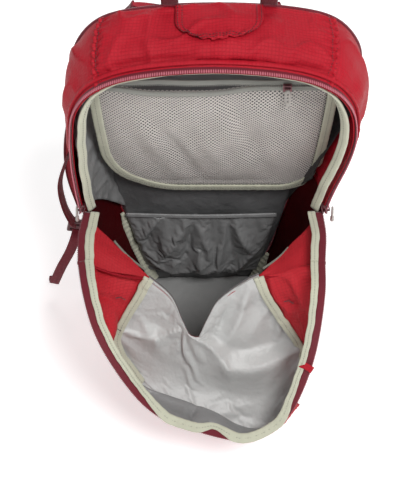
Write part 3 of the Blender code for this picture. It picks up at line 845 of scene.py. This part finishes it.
HEM_LEFT, HEM_RIGHT = np.array((-0.090, 0.066, 0.150)), np.array((0.079, 0.066, 0.150))
HEM_DIP = 0.003
SLEEVE_ROWS, SLEEVE_COLS = 36, 40
SLEEVE_SIZE = 0.150, 0.115             # as it is sewn in, width and height


def make_sleeve():
    """Loose grey sleeve on the back wall: hemmed along the top, sewn into the side and bottom seams."""
    top = np.linspace(HEM_LEFT, HEM_RIGHT, SLEEVE_COLS)
    top[:, 2] -= HEM_DIP * hump(SLEEVE_COLS)
    foot = np.linspace((-0.070, 0.069, 0.035), (0.060, 0.069, 0.035), SLEEVE_COLS)
    v = np.linspace(0, 1, SLEEVE_ROWS)[:, None]
    grid = top * (1 - v[..., None]) + foot * v[..., None]
    grid[..., 1] -= 0.013 * np.sin(math.pi * v) ** 0.8 * hump(SLEEVE_COLS) ** 0.6
    grid[..., 1] -= 1.3 * fold_relief(SLEEVE_ROWS, SLEEVE_COLS, SLEEVE_SIZE, SLEEVE_FOLDS)
    grid = settled(grid, 0.025, 1.0, 22, 0.010)
    # the sleeve's grey is painted half shade
    cloth = sheet("sleeve_cloth", finer(grid), GREY_HALF_SHADE)
    place(cloth, "pack", "lining", "inner_sleeve")
    hem_path = even([HEM_LEFT, (HEM_LEFT + HEM_RIGHT) / 2 - (0, 0, HEM_DIP), HEM_RIGHT], 60)
    # the hem's grey is painted half shade too
    hem = band("sleeve_hem_fold", hem_path + (0, -0.0012, 0.001), (0, -1, 0.3), 0.0055, 0.0022, GREY_HALF_SHADE,
               pucker=0.10, period=0.019)
    place(hem, "pack", "lining", "sleeve_hem")


def make_seam_bindings():
    """Ruched sage tape over the back side seams, from the floor up to the sleeve's hem."""
    for name, side, last in (("left", -1, 2.12), ("right", 1, 0.95)):
        stations = np.linspace(0.15, last, 90)
        path = lean([shell(side, at, 0.88, -0.007) for at in stations])
        width = 0.0125 - 0.0080 * np.clip((stations - last + 0.35) / 0.35, 0, 1)
        facing = (-side * 0.8, -1, 0.2)
        tape = band(f"seam_tape_{name}", path, facing, width, 0.0030, SAGE, pucker=0.42, period=0.0075)
        place(tape, "pack", "binding", f"seam_binding_{name}")


# ---------------------------------------------------------------- main zipper and its binding
def teeth_on(path, across, out, reach):
    """Coil teeth side by side along the free edge of a zipper tape."""
    count = int(length(path) / PITCH)
    half = unit(even(across, count)) * reach / 2
    seats = even(path, count) + unit(even(out, count)) * 0.0007
    return list(zip(seats - half, seats + half))


# Depths on the shell: the zipper's line, its slope, the tape's edge, its stitches and the seam fold
ZIP_DEPTHS = 0.0, 0.04, 0.075, 0.085, 0.115


def make_main_zipper():
    """Zipper half round the arch: tape, teeth, stitches, seam fold and, inside it, the sage binding."""
    places = over_top(FOLD, 90)
    line, near, inner, sewn, seam = (shell_grid(places, [depth])[:, 0] for depth in ZIP_DEPTHS)
    out = unit(shell_grid(places, [ZIP_DEPTHS[1]], 0.01)[:, 0] - near)
    tape = band("zip_tape_arch", (line + inner) / 2 + out * 0.0010, out, 0.0085, 0.0012, TAPE)
    place(tape, "pack", "webbing", "body_zip_tape")
    across = np.cross(unit(np.gradient(line, axis=0)), out)
    teeth = capsules("zip_teeth_arch", teeth_on(line + out * 0.0025, across, out, 0.0044), 0.00080, TEETH)
    place(teeth, "pack", "webbing")
    sew("zip_tape_stitches", [sewn + out * 0.0014], "pack", "webbing", THREAD, 0.00032)
    fold = band("zip_seam_fold", seam + out * 0.0010, out, 0.0055, 0.0030, RED, pucker=0.22, period=0.009)
    place(fold, "pack", "ripstop")
    upright = (1 - np.clip(out[:, 2:3], 0, 1)) ** 0.7
    facing = -out * 0.75 + np.array((0, -0.8, 0.25)) * upright
    path = line - out * (0.0035 + 0.0050 * upright) + np.array((0, 1, 0)) * (0.0085 - 0.0055 * upright)
    wander = 0.0012 * noise_at(path, 0.02)[:, None]
    binding = band("arch_binding_tape", path + facing * wander, facing, 0.0105, 0.0030, SAGE, pucker=0.16,
                   period=0.010)
    place(binding, "pack", "binding", "arch_binding")
    stitched = path + facing * (wander + 0.0019)
    sew("arch_binding_stitches", [stitched], "pack", "binding", THREAD_PALE, step=0.0032)


# ---------------------------------------------------------------- net pocket
POCKET_TOP = np.array((0.007, 0.034, 0.398))
POCKET_SLOPE = np.array((0, 0.029, -0.190))
POCKET_LENGTH = float(np.linalg.norm(POCKET_SLOPE))
POCKET_HALF = 0.111
POCKET_CORNERS = {-1: 0.074, 1: 0.036}
MESH_CELL = 0.0042
HOLE_SHARE = 0.84                      # of a cell's width


def pocket_point(across, down):
    """Point of the net: a shallow pouch with soft waves, fuller towards its bottom."""
    slope = POCKET_SLOPE / POCKET_LENGTH
    share = min(max(down / POCKET_LENGTH, 0), 1)
    point = POCKET_TOP + np.array((across * (1 - 0.075 * share ** 2), 0, 0)) + slope * down
    edge = max(1 - (abs(across) / POCKET_HALF) ** 4, 0) * math.sin(math.pi * min(share * 1.08, 1)) ** 0.7
    wave = noise.noise(Vector((across / 0.045 + share, share * 2.2, 4.2)))
    fold = noise.noise(Vector((across / 0.020 - share * 3, share * 1.5, 9.1)))
    point[2] -= pocket_gape(across) * (1 - share) ** 8
    return point + np.array((0, -0.98, -0.14)) * (edge * (0.007 + 0.010 * wave + 0.004 * fold))


def pocket_gape(across):
    """How far the lower half of the pocket's zipper hangs open below the upper half."""
    return 0.0085 * math.exp(-((across + 0.030) / 0.055) ** 4)


def pocket_inside(across, down):
    if down < -0.004 or down > POCKET_LENGTH or abs(across) > POCKET_HALF:
        return False
    corner = POCKET_CORNERS[1 if across > 0 else -1]
    dx, dz = abs(across) - (POCKET_HALF - corner), down - (POCKET_LENGTH - corner)
    return dx < 0 or dz < 0 or math.hypot(dx, dz) < corner


def pocket_outline(grow, count=26):
    """Outline of the pocket from its top left corner down and round to its top right one, grown outwards."""
    points = [(-POCKET_HALF - grow, 0.0), (-POCKET_HALF - grow, POCKET_LENGTH * 0.45)]
    for side in (-1, 1):
        corner = POCKET_CORNERS[side]
        turn = np.linspace(0, math.pi / 2, count)
        arc = [(side * (POCKET_HALF - corner + (corner + grow) * math.cos(a)),
                POCKET_LENGTH - corner + (corner + grow) * math.sin(a)) for a in turn]
        points += arc if side < 0 else arc[::-1]
    return points + [(POCKET_HALF + grow, POCKET_LENGTH * 0.5), (POCKET_HALF + grow, 0.0)]


def make_net():
    """Knitted net of slanting strands: rhombic cells, each pulled in to leave a hole."""
    across_step, down_step = MESH_CELL * 0.5, MESH_CELL * 0.56
    verts, index, faces = [], {}, []

    def corner(i, j):
        if (i, j) not in index:
            index[i, j] = len(verts)
            verts.append(pocket_point(i * across_step, j * down_step))
        return index[i, j]

    wide = int(POCKET_HALF / across_step)
    for j in range(-1, int(POCKET_LENGTH / down_step)):
        for i in range(-wide, wide):
            if (i + j) % 2 == 0 and pocket_inside(i * across_step, j * down_step):
                faces.append((corner(i - 1, j), corner(i, j + 1), corner(i + 1, j), corner(i, j - 1)))
    strands, cells = [], []
    for face in faces:
        points = np.array([verts[k] for k in face])
        middle = points.mean(axis=0)
        hole = middle + (points - middle) * HOLE_SHARE
        hole = hole + (np.roll(hole, 1, axis=0) + np.roll(hole, -1, axis=0) - 2 * hole) * 0.10
        first = len(verts) + len(strands)
        strands += list(hole)
        for k in range(4):
            n = (k + 1) % 4
            cells.append((face[k], face[n], first + n, first + k))
    points = verts + strands
    net = to_object("pocket_net", points, cells, NET, [(p[0], p[2]) for p in points])
    skin = net.modifiers.new("Thickness", "SOLIDIFY")
    skin.thickness = 0.0005
    apply_modifiers(net)
    return net


def make_net_pocket():
    net = place(make_net(), "pack", "net", "mesh_pocket")
    outline = np.array([pocket_point(x, z) for x, z in resampled(pocket_outline(0.0035), 220)])
    outline = outline + (0, -0.0008, 0)
    binding = band("pocket_binding", outline, (0, -1, -0.15), 0.0105, 0.0022, SAGE, square=0.4, pucker=0.40,
                   period=0.008)
    place(binding, "pack", "binding", "mesh_pocket_binding")
    sew("pocket_binding_stitches", [outline + (0, -0.0016, 0)], "pack", "binding", THREAD_PALE)
    make_pocket_zipper()


def make_pocket_zipper():
    """Two halves of the pocket's zipper, closed towards the right and hanging open at the left."""
    across = np.linspace(-POCKET_HALF - 0.002, POCKET_HALF + 0.002, 90)
    lower = np.array([pocket_point(x, 0) for x in across]) + (0, -0.0020, 0.0010)
    upper = lower.copy()
    upper[:, 2] += 0.0062 + np.array([pocket_gape(x) for x in across]) + 0.0006 * np.sin(across * 90)
    upper[:, 1] += 0.0016
    up, out = np.tile((0, 0, 1.0), (90, 1)), np.tile((0, -1.0, 0), (90, 1))
    halves = (("lower", lower, 0.0029, ()), ("upper", upper, -0.0029, ("mesh_zip_tape",)))
    for name, path, step, nodes in halves:
        tape = band(f"pocket_zip_tape_{name}", path, (0, -1, 0.35), 0.0056, 0.0012, NET_TAPE, pucker=0.2,
                    period=0.017)
        place(tape, "pack", "net_tape", *nodes)
        teeth = teeth_on(path + (0, -0.0006, step), up, out, 0.0020)
        place(capsules(f"pocket_zip_teeth_{name}", teeth, 0.0006, NET_TAPE), "pack", "net_tape")


# ---------------------------------------------------------------- open flap
LEFT_SHARE, RIGHT_SHARE = 5.3, 11.4    # where the rim passes from its sides to its tip, counted in its points
RIM = RIM_LEFT + [RIM_TIP] + RIM_RIGHT[::-1]
RIM_END = len(RIM) - 1
RIM_FINE = 1600


def rim_points(first, last, count):
    """Even points along the rim between two places on it."""
    dense = curve(RIM, RIM_FINE + 1)
    return even(dense[int(first / RIM_END * RIM_FINE):int(last / RIM_END * RIM_FINE) + 1], count)


GUSSET_ROWS, GUSSET_COLS = 26, 66
GUSSET_SAG = 0.010


def gusset_grid(seam, rim, seed):
    """Band of cloth from the panel's seam out to the zipped rim, hanging slack in its middle."""
    share = np.linspace(0, 1, GUSSET_ROWS)[:, None, None]
    grid = seam[None] * (1 - share) + rim[None] * share
    grid = grid - OUT_OF_FLAP * (GUSSET_SAG * np.sin(math.pi * share) ** 1.3)
    soft = creased(grid, (0.050, 0.008, seed), (0.034, 0.005, seed + 3))
    return partly(grid, soft, np.sin(math.pi * share) ** 0.7)


def out_of_flap(grid):
    """Surface normals of a grid, turned to the flap's inner face."""
    facing = normals(grid)
    return -facing if (facing @ OUT_OF_FLAP).mean() < 0 else facing


LINING_SIZE = 0.185, 0.115             # of the flap's lining as it is sewn in, width and height


def flap_lining_grid():
    """Slack lining between the fold, the two side seams and the foot seam; the fold's notch fades quickly."""
    rows, cols = 42, 44
    top, foot = slump_line(0.0012, cols), even(SEAM_TIP, cols)
    left, right = even(SEAM_LEFT, rows), even(SEAM_RIGHT, rows)
    left[0], right[0] = top[0], top[-1]
    s = np.linspace(0, 1, cols)[None, :, None]
    t = np.linspace(0, 1, rows)[:, None, None]
    chord = (1 - s[0]) * top[0] + s[0] * top[-1]
    grid = chord * (1 - t) + (top - chord) * (1 - t) ** 2.6 + foot * t
    grid = grid + (1 - s) * left[:, None] + s * right[:, None]
    grid -= (1 - t) * chord + t * ((1 - s) * foot[0] + s * foot[-1])
    inner = np.sin(math.pi * s) * np.sin(math.pi * t)
    relief = fold_relief(rows, cols, LINING_SIZE, LINING_FOLDS)[..., None]
    shaped = grid + OUT_OF_FLAP * (relief - 0.002 * inner)
    shaped = partly(shaped, settled(shaped, 0.020, 0.6, 20, 0.008), np.clip(t * 5, 0, 1))
    return finer(shaped)


def make_gussets():
    """Red cloth between the front panel and the rim, in three parts, with the tip's grey lining."""
    parts = (("left", SEAM_LEFT, rim_points(0, LEFT_SHARE, GUSSET_COLS), 1.0),
             ("right", SEAM_RIGHT, rim_points(RIGHT_SHARE, RIM_END, GUSSET_COLS)[::-1], 5.0),
             ("top", SEAM_TIP, rim_points(LEFT_SHARE, RIGHT_SHARE, GUSSET_COLS), 9.0))
    for name, line, rim, seed in parts:
        seam = even(line, GUSSET_COLS)
        grid = gusset_grid(seam, rim, seed)
        # the gusset's lighter red is painted light
        place(sheet(f"flap_side_{name}", grid, RED_PAINTED_LIT), "flap", "ripstop", f"flap_gusset_{name}")
        if name == "top":
            inside = (grid + out_of_flap(grid) * 0.0022)[:24]
            # the tip lining's darker grey is painted half shade
            place(sheet("flap_tip_lining", inside, GREY_HALF_SHADE), "flap", "lining")
        else:
            make_bartacks(name, grid)
            make_flap_seam(name, seam, grid)


def make_flap():
    make_gussets()
    lining = flap_lining_grid()
    inner = sheet("flap_lining_cloth", lining, GREY)
    place(inner, "flap", "lining", "flap_lining")
    depth = np.interp(np.arange(len(lining)), (0, 9), (0.0009, 0.0042))
    outer = (lining - OUT_OF_FLAP * depth[:, None, None])[:-3]
    place(sheet("flap_panel_cloth", outer, RED), "flap", "ripstop", "flap_panel")
    make_flap_rim()
    make_fold_web()


BARTACKS = {"left": ((0.35, 0.20), (0.30, 0.45)), "right": ((0.35, 0.22), (0.45, 0.55))}


def make_bartacks(name, grid):
    """Short dense bars of thread that hold the gusset's folds; places are shares of its width and length."""
    stitches = []
    for share, along in BARTACKS[name]:
        row, col = int(share * (GUSSET_ROWS - 1)), int(along * (GUSSET_COLS - 1))
        centre = grid[row, col] + (0, -0.0016, 0.0022)
        for k in range(-4, 5):
            start = centre + np.array((k * 0.0011, -0.0005 * abs(k), -0.0004 * k - 0.0010))
            stitches.append((start, start + np.array((0.0010, -0.0006, 0.0028))))
    place(capsules(f"flap_bartacks_{name}", stitches, 0.00045, THREAD_DARK), "flap", "webbing")


def make_flap_seam(name, seam, grid):
    """Sage tape over the seam between the front panel and a gusset."""
    facing = unit(out_of_flap(grid)[2] + OUT_OF_FLAP)
    path = seam + facing * 0.0050
    tape = band(f"flap_seam_tape_{name}", path, facing, 0.0110, 0.0020, SAGE, square=0.4, pucker=0.16,
                period=0.010)
    place(tape, "flap", "binding", f"flap_seam_binding_{name}")
    sew(f"flap_seam_stitches_{name}", [path + facing * 0.0012], "flap", "binding", THREAD_PALE)


def rim_directions(rim):
    """Inward along the cloth and out of its inner face, at each point of the rim."""
    along = unit(np.gradient(rim, axis=0))
    face = unit(OUT_OF_FLAP - along * (along @ OUT_OF_FLAP)[:, None])
    inward = np.cross(face, along)
    check = len(rim) // 6
    return (-inward if inward[check, 0] * rim[check, 0] > 0 else inward), face


def ramp(values, first, last):
    """Smooth rise from 0 at the first value to 1 at the last."""
    share = np.clip((values - first) / (last - first), 0, 1)
    return share * share * (3 - 2 * share)


def make_rim_run(name, rim, body, nodes):
    """Zipper half along a stretch of rim: teeth, crimson tape, and the sage tape over their seam.

    In two places near the tip the sage tape rolls outwards over the zipper."""
    inward, face = rim_directions(rim)
    tape = band(f"rim_tape_{name}", rim + inward * 0.0036, face, 0.0076, 0.0012, TAPE)
    place(tape, body, "webbing", *nodes[:1])
    teeth = teeth_on(rim - face * 0.0020, inward, face, 0.0024)
    # these teeth are in painted shade
    place(capsules(f"rim_teeth_{name}", teeth, 0.0006, TEETH_SHADED), body, "webbing")
    x, y = rim[:, 0], rim[:, 1]
    roll = ramp(x, -0.078, -0.040) * (1 - ramp(x, -0.012, 0.006))
    roll = (roll + ramp(x, 0.008, 0.030) * (1 - ramp(x, 0.078, 0.104))) * (y < -0.12)
    broad = ramp(y, -0.14, -0.04) * (0.0026 - 0.0014 * (x > 0))
    inset = 0.0104 + broad / 2 - 0.0062 * roll + 0.0008 * noise_at(rim, 0.014)
    path = rim + inward * inset[:, None] + face * (0.0010 + 0.0018 * roll)[:, None]
    width, height = 0.0068 + broad + 0.0040 * roll, 0.0020 + 0.0010 * roll
    sage = band(f"rim_binding_{name}", path, face, width, height, SAGE, square=0.4, pucker=0.20, period=0.009)
    place(sage, body, "binding", *nodes[1:])
    sew(f"rim_binding_stitches_{name}", [path + face * 0.0013], body, "binding", THREAD_PALE)


# Where the flap's cloth stays with the pack: side, rim at the hinge, panel's corner, start of its ridge seam
ROOTS = (("left", -1, np.array(RIM_LEFT[0]), np.array(SEAM_LEFT[0]), 22),
         ("right", 1, np.array(RIM_RIGHT[0]), np.array(SEAM_RIGHT[0]), 28))


def make_flap_root(name, side, rim_end, corner, ridge_first):
    """Rim, cloth and ridge seam between the zipper's end and the hinge line."""
    start = lean(shell(side, FOLD, 0.0))
    middle = (start + rim_end) / 2 + np.array((side * 0.002, 0, 0.003))
    rim = even([start, middle, rim_end + (rim_end - middle) * 0.03], 30)
    make_rim_run(f"root_{name}", rim, "pack", ())
    share = np.linspace(0, 1, 22)[:, None, None]
    grid = corner * (1 - share) + rim[None] * share
    grid = grid + np.array((0, 0.30, -0.95)) * (0.007 * np.sin(math.pi * share))
    grid = partly(grid, crumple(grid, 0.030, 0.004, 2.0 + side), np.sin(math.pi * share))
    # the root's lighter red is painted light
    place(sheet(f"flap_root_{name}", grid, RED_PAINTED_LIT), "pack", "ripstop")
    edge = even([start + (-side * 0.012, -0.006, -0.003), grid[8, 0], corner + (0, 0.004, 0.002)], 60)
    seam = band(f"ridge_seam_{name}", edge[ridge_first:-4], (0, 0.2, 1), 0.0022, 0.0016, THREAD_PALE,
                pucker=0.4, period=0.004)
    place(seam, "pack", "binding")


def make_flap_rim():
    """The whole rim of the flap, its red pull tab, and the two stretches that stay with the pack."""
    make_rim_run("flap", rim_points(0, RIM_END, 330), "flap", ("flap_zip_tape", "flap_rim_binding"))
    tab = even([(0.1085, -0.142, 0.165), (0.1020, -0.139, 0.168), (0.0960, -0.136, 0.168)], 14)
    place(band("flap_tab", tab, OUT_OF_FLAP, 0.0070, 0.0022, RED, square=0.4), "flap", "ripstop")
    for root in ROOTS:
        make_flap_root(*root)


def fold_sliver(name, rows, mat, drawn_out=30):
    """Sliver of gathered cloth that turns from pack to flap; its weave is right when it is drawn out."""
    web = sheet(f"fold_web_{name}", rows, mat, 0.0005)
    for corner in web.data.uv_layers[0].data:
        corner.uv.y *= drawn_out
    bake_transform(web)


def make_fold_web():
    """The cloth gathered at the fold: slivers at rest."""
    layers = (("lining", GREY, "lining", 0, 0.0012), ("cloth", RED, "ripstop", 0.004, 0.0))
    for name, mat, slot, sunk, front in layers:
        rows = np.stack([slump_line(-0.0012), slump_line(front)]) - FOLD_RISE * sunk
        fold_sliver(name, rows, mat)
    for name, _, rim_end, corner, _ in ROOTS:
        line = even([rim_end, (rim_end + corner) / 2 + (0, 0, -0.006), corner], 24)
        line[:, 1] = HINGE_Y
        rows = np.stack([line + (0, 0.0012, 0), line - (0, 0.0012, 0)])
        fold_sliver(name, rows, RED)


# ---------------------------------------------------------------- haul loop, straps and webbing
def make_haul_loop():
    """Webbing loop that stands up from the top seam, with rounded upper corners."""
    half, rise, bend = 0.046, 0.040, 0.020
    rising = [(half, 0.002, -0.006), (half, 0, 0.006), (half - 0.001, 0, rise - bend)]
    arc = [(half - bend + bend * math.cos(a), 0, rise - bend + bend * math.sin(a))
           for a in np.linspace(0, math.pi / 2, 6)[1:]]
    right = np.array(rising + arc)
    left = right * (-1, 1, 1)
    path = even(np.vstack([left, right[::-1]]) + (HAUL_MIDDLE, 0.080, 0.4625), 150)
    loop = band("haul_webbing", path, (0, -1, 0.1), 0.0165, 0.0020, CRIMSON)
    place(loop, "haul_loop", "webbing", "haul_loop")


# Routes of each strap, of the webbing sewn under it, of the webbing down to the base and of its free end
STRAPS = {
    "left": dict(strap=[(-0.047, 0.0900, 0.448), (-0.056, 0.116, 0.405), (-0.082, 0.130, 0.345),
                        (-0.112, 0.127, 0.285), (-0.134, 0.110, 0.235), (-0.141, 0.096, 0.190),
                        (-0.137, 0.086, 0.140)],
                 loose=[(-0.148, 0.090, 0.232), (-0.162, 0.085, 0.186), (-0.161, 0.080, 0.150),
                        (-0.154, 0.075, 0.127), (-0.149, 0.078, 0.116)],
                 lower=[(-0.148, 0.079, 0.107), (-0.145, 0.082, 0.096), (-0.132, 0.088, 0.070),
                        (-0.104, 0.092, 0.040), (-0.078, 0.0935, 0.026), (-0.066, 0.0920, 0.021)],
                 tail=[(-0.149, 0.0765, 0.107), (-0.152, 0.070, 0.098), (-0.160, 0.066, 0.076),
                       (-0.172, 0.062, 0.050), (-0.184, 0.060, 0.018)]),
    "right": dict(strap=[(0.047, 0.0900, 0.448), (0.052, 0.116, 0.405), (0.062, 0.130, 0.345),
                         (0.076, 0.136, 0.285), (0.088, 0.134, 0.235), (0.094, 0.128, 0.190),
                         (0.094, 0.122, 0.140)],
                  loose=[(0.100, 0.142, 0.214), (0.104, 0.146, 0.178), (0.103, 0.140, 0.146),
                         (0.098, 0.126, 0.128), (0.094, 0.1155, 0.117)],
                  lower=[(0.094, 0.1145, 0.107), (0.093, 0.110, 0.096), (0.090, 0.102, 0.070),
                         (0.083, 0.096, 0.045), (0.075, 0.0935, 0.030), (0.066, 0.0920, 0.024)],
                  tail=[(0.094, 0.1165, 0.107), (0.096, 0.124, 0.097), (0.100, 0.130, 0.074),
                        (0.101, 0.132, 0.048), (0.100, 0.132, 0.016)])}
STRAP_WIDTHS = (0.046, 0.054, 0.058, 0.052, 0.040, 0.030, 0.020)
STRAP_THICKNESS = 0.0090
WEB_WIDTH = 0.012


def make_strap(name, points):
    """Padded strap with bound edges and a band of webbing down its middle."""
    path = curve(points, 90)
    width = curve(STRAP_WIDTHS, 90)
    taper = np.exp(-np.linspace(0, 12, 90)) + np.exp(-np.linspace(12, 0, 90))
    thick = STRAP_THICKNESS - 0.0030 * taper
    strap = band(f"strap_padded_{name}", path, (0, 1, 0), width, thick, STRAP_CLOTH, sides=28, square=0.8)
    place(strap, "pack", "strap_fabric", f"shoulder_strap_{name}")
    across, out = frames_along(path, (0, 1, 0))
    for edge, sign in (("inner", -1), ("outer", 1)):
        rim = path + across * (sign * (width / 2 - 0.001))[:, None]
        edging = band(f"strap_edge_{name}_{edge}", rim, across * sign, 0.0066, 0.0026, CRIMSON)
        place(edging, "pack", "webbing")
    middle = slice(18, 84)
    centre = (path + out * (thick / 2 + 0.0006)[:, None])[middle]
    web = band(f"strap_centre_webbing_{name}", centre, out[middle], 0.014, 0.0014, CRIMSON)
    place(web, "pack", "webbing")


def make_straps():
    """Both straps, with their webbing down to the ladder lock, on to the base corner and to a free end."""
    for name, side in SIDES:
        route = STRAPS[name]
        make_strap(name, route["strap"])
        runs = (("loose", "adjuster_webbing", (side, 0.4, 0)), ("lower", "lower_webbing", (0, 1, 0)),
                ("tail", "webbing_tail", (0, 1, 0)))
        for kind, node, face in runs:
            web = band(f"{kind}_webbing_{name}", curve(route[kind], 50), face, WEB_WIDTH, 0.0017, CRIMSON)
            place(web, "pack", "webbing", f"{node}_{name}")
        fold = np.array(route["tail"][-1]) + (0, 0.0014, 0.003)
        hem = even([fold, fold + (0.0015, 0.0004, 0.009)], 8)
        place(band(f"tail_hem_{name}", hem, (0, 1, 0), WEB_WIDTH, 0.0018, CRIMSON), "pack", "webbing")
        foot = np.array((side * 0.063, BACK_Y + 0.0112, 0.010))
        up = np.linspace(foot, foot + (0, 0, 0.024), 16)
        taper = np.linspace(0.022, 0.014, 16)
        tab = band(f"anchor_patch_{name}", up, (0, 1, 0), taper, 0.0030, CRIMSON)
        place(tab, "pack", "webbing", f"anchor_tab_{name}")


# ---------------------------------------------------------------- sliders, pulls and locks
def box_part(size, centre, bevel):
    """Metal block with rounded edges."""
    bpy.ops.mesh.primitive_cube_add(size=1)
    obj = bpy.context.object
    obj.data.transform(Matrix.Diagonal((*size, 1)))
    obj.data.transform(Matrix.Translation(centre))
    edge = obj.modifiers.new("Edges", "BEVEL")
    edge.width = bevel
    edge.segments = 3
    obj.data.materials.append(METAL)
    apply_modifiers(obj)
    obj.data.shade_smooth()
    return obj


def join(parts, name):
    bpy.ops.object.select_all(action="DESELECT")
    for part in parts:
        part.select_set(True)
    bpy.context.view_layer.objects.active = parts[0]
    bpy.ops.object.join()
    parts[0].name = name
    parts[0].data.name = name
    return parts[0]


# Pieces of a slider in millimetres: size, centre and bevel. Y runs along the zipper, Z out of it
SLIDER_PARTS = (((8.5, 10.5, 1.1), (0, 0, 2.0), 0.4), ((8.5, 10.5, 1.1), (0, 0, -2.0), 0.4),
                ((2.4, 3.0, 3.6), (0, 3.0, 0), 0.3), ((2.2, 7.8, 1.0), (0, 0, 4.8), 0.4),
                ((2.2, 1.2, 2.6), (0, 3.3, 3.5), 0.3), ((2.2, 1.2, 2.6), (0, -3.3, 3.5), 0.3))
MM = 0.001


def make_slider(name, centre, facing, long_axis, size=1.0):
    """Two plates joined by a wedge, with the bridge that holds the pull."""
    parts = [box_part(np.array(box) * size * MM, np.array(at) * size * MM, bevel * MM)
             for box, at, bevel in SLIDER_PARTS]
    obj = join(parts, name)
    z = Vector(facing).normalized()
    y = (Vector(long_axis) - z * Vector(long_axis).dot(z)).normalized()
    x = y.cross(z)
    for vert in obj.data.vertices:
        vert.co = Vector(centre) + x * vert.co.x + y * vert.co.y + z * vert.co.z
    return obj


# Loop of a pull: shares of its half width and of its length
PULL_SHAPE = ((-0.6, 0), (0, 0), (0.6, 0), (1, 0.25), (0.8, 0.7), (0.2, 1), (-0.2, 1), (-0.8, 0.7),
              (-1, 0.25), (-0.6, 0))


def make_pull(name, body, top, drop, spread):
    """Loop of braided cord through the slider's bridge, closed by a small wrapped knot."""
    top, drop, spread = np.array(top), np.array(drop), np.array(spread)
    path = even([top + spread * wide + drop * down for wide, down in PULL_SHAPE], 90)
    facing = np.cross(drop, spread)
    cord = band(f"{name}_loop", path, facing, 0.0021, 0.0021, CORD, square=1.0, pucker=0.1, period=0.0016)
    place(cord, body, "pull_cord", body)
    knot = band(f"{name}_knot", even([top + drop * 0.72, top + drop * 0.98], 14), facing,
                0.0048, 0.0036, CORD, square=0.9, pucker=0.2, period=0.0018)
    place(knot, body, "pull_cord")


def make_hardware():
    """Three sliders with their pulls; each pull rides on a body that is named like its CAD node."""
    for name, side in SIDES:
        seat = lean(shell(side, FOLD + 0.15, 0)) + (side * 0.001, 0, 0)
        slider = make_slider(f"zip_slider_{name}", seat, (side, -0.15, 0.25), (side * 0.1, 0, 1))
        place(slider, f"slider_{name}", "slider_metal", f"slider_{name}")
        top = seat + (side * 0.0052 + 0.0015 * (side + 1), -0.0008, 0.0010)
        make_pull(f"zip_pull_{name}", f"pull_{name}", top, (side * 0.001, 0, -0.0205), (0, 0.0024, 0))
    seat = POCKET_TOP + (0.070, -0.0045, 0.0042)
    slider = make_slider("pocket_slider", seat, (0, -1, 0.3), (1, 0, 0), 0.8)
    place(slider, "mesh_slider", "slider_metal", "mesh_slider")
    top = seat + (0, -0.0048, 0.0004)
    make_pull("pocket_pull", "mesh_pull", top, (0.001, -0.001, -0.0205), (0.0020, 0, 0))
    for name, _ in SIDES:
        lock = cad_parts[f"ladder_lock_{name}"]
        lock.data.materials.clear()
        lock.data.materials.append(PLASTIC)


# ---------------------------------------------------------------- camera, light and floor
def make_light(name, place_at, target, size, power):
    data = bpy.data.lights.new(name, "AREA")
    data.shape = "DISK"
    data.size = size
    data.energy = power
    obj = bpy.data.objects.new(name, data)
    obj.location = place_at
    obj.rotation_euler = (Vector(target) - Vector(place_at)).to_track_quat("-Z", "Y").to_euler()
    bpy.context.scene.collection.objects.link(obj)


CAMERA_PLACE = 0.002, -0.7706, 1.2919
CAMERA_TILT = math.radians(35)         # from straight down
CAMERA_LENS = 93.8
WORLD_LIGHT = 0.40
FLOOR_GLOW = 0.45                      # keeps the pale floor nearly white under soft light
# Name, place, target, diameter and power
LIGHTS = (("key", (0.55, -0.85, 2.0), (0, -0.02, 0.2), 0.70, 31),
          ("fill", (-1.4, -0.8, 1.1), (0, 0, 0.25), 1.2, 2),
          ("back", (0.2, 1.4, 1.6), (0, 0.05, 0.25), 1.0, 7))


def make_studio():
    """Camera, pale floor, even white surroundings and three soft lights."""
    camera = bpy.data.objects.new("Camera", bpy.data.cameras.new("Camera"))
    camera.data.lens = CAMERA_LENS
    camera.location = CAMERA_PLACE
    camera.rotation_euler = (CAMERA_TILT, 0, 0)
    bpy.context.scene.collection.objects.link(camera)
    bpy.context.scene.camera = camera
    bpy.ops.mesh.primitive_plane_add(size=30, location=(0, 0, -0.001))
    floor = bpy.context.object
    floor.name = "floor"
    mat, _, shader = new_material("studio_floor", 0.9)
    shader.inputs["Base Color"].default_value = (0.93, 0.93, 0.93, 1)
    shader.inputs["Emission Color"].default_value = (1, 1, 1, 1)
    shader.inputs["Emission Strength"].default_value = FLOOR_GLOW
    floor.data.materials.append(mat)
    world = bpy.data.worlds.new("studio")
    bpy.context.scene.world = world
    world.use_nodes = True
    back = world.node_tree.nodes["Background"]
    back.inputs["Color"].default_value = (1, 1, 1, 1)
    back.inputs["Strength"].default_value = WORLD_LIGHT
    for light in LIGHTS:
        make_light(*light)
    bpy.context.scene.view_settings.view_transform = "Standard"


make_studio()
make_sides()
make_top()
make_back()
make_back_pads()
make_front()
make_base()
make_inside()
make_sleeve()
make_seam_bindings()
make_main_zipper()
make_net_pocket()
make_flap()
make_haul_loop()
make_straps()
make_hardware()

bpy.context.view_layer.update()
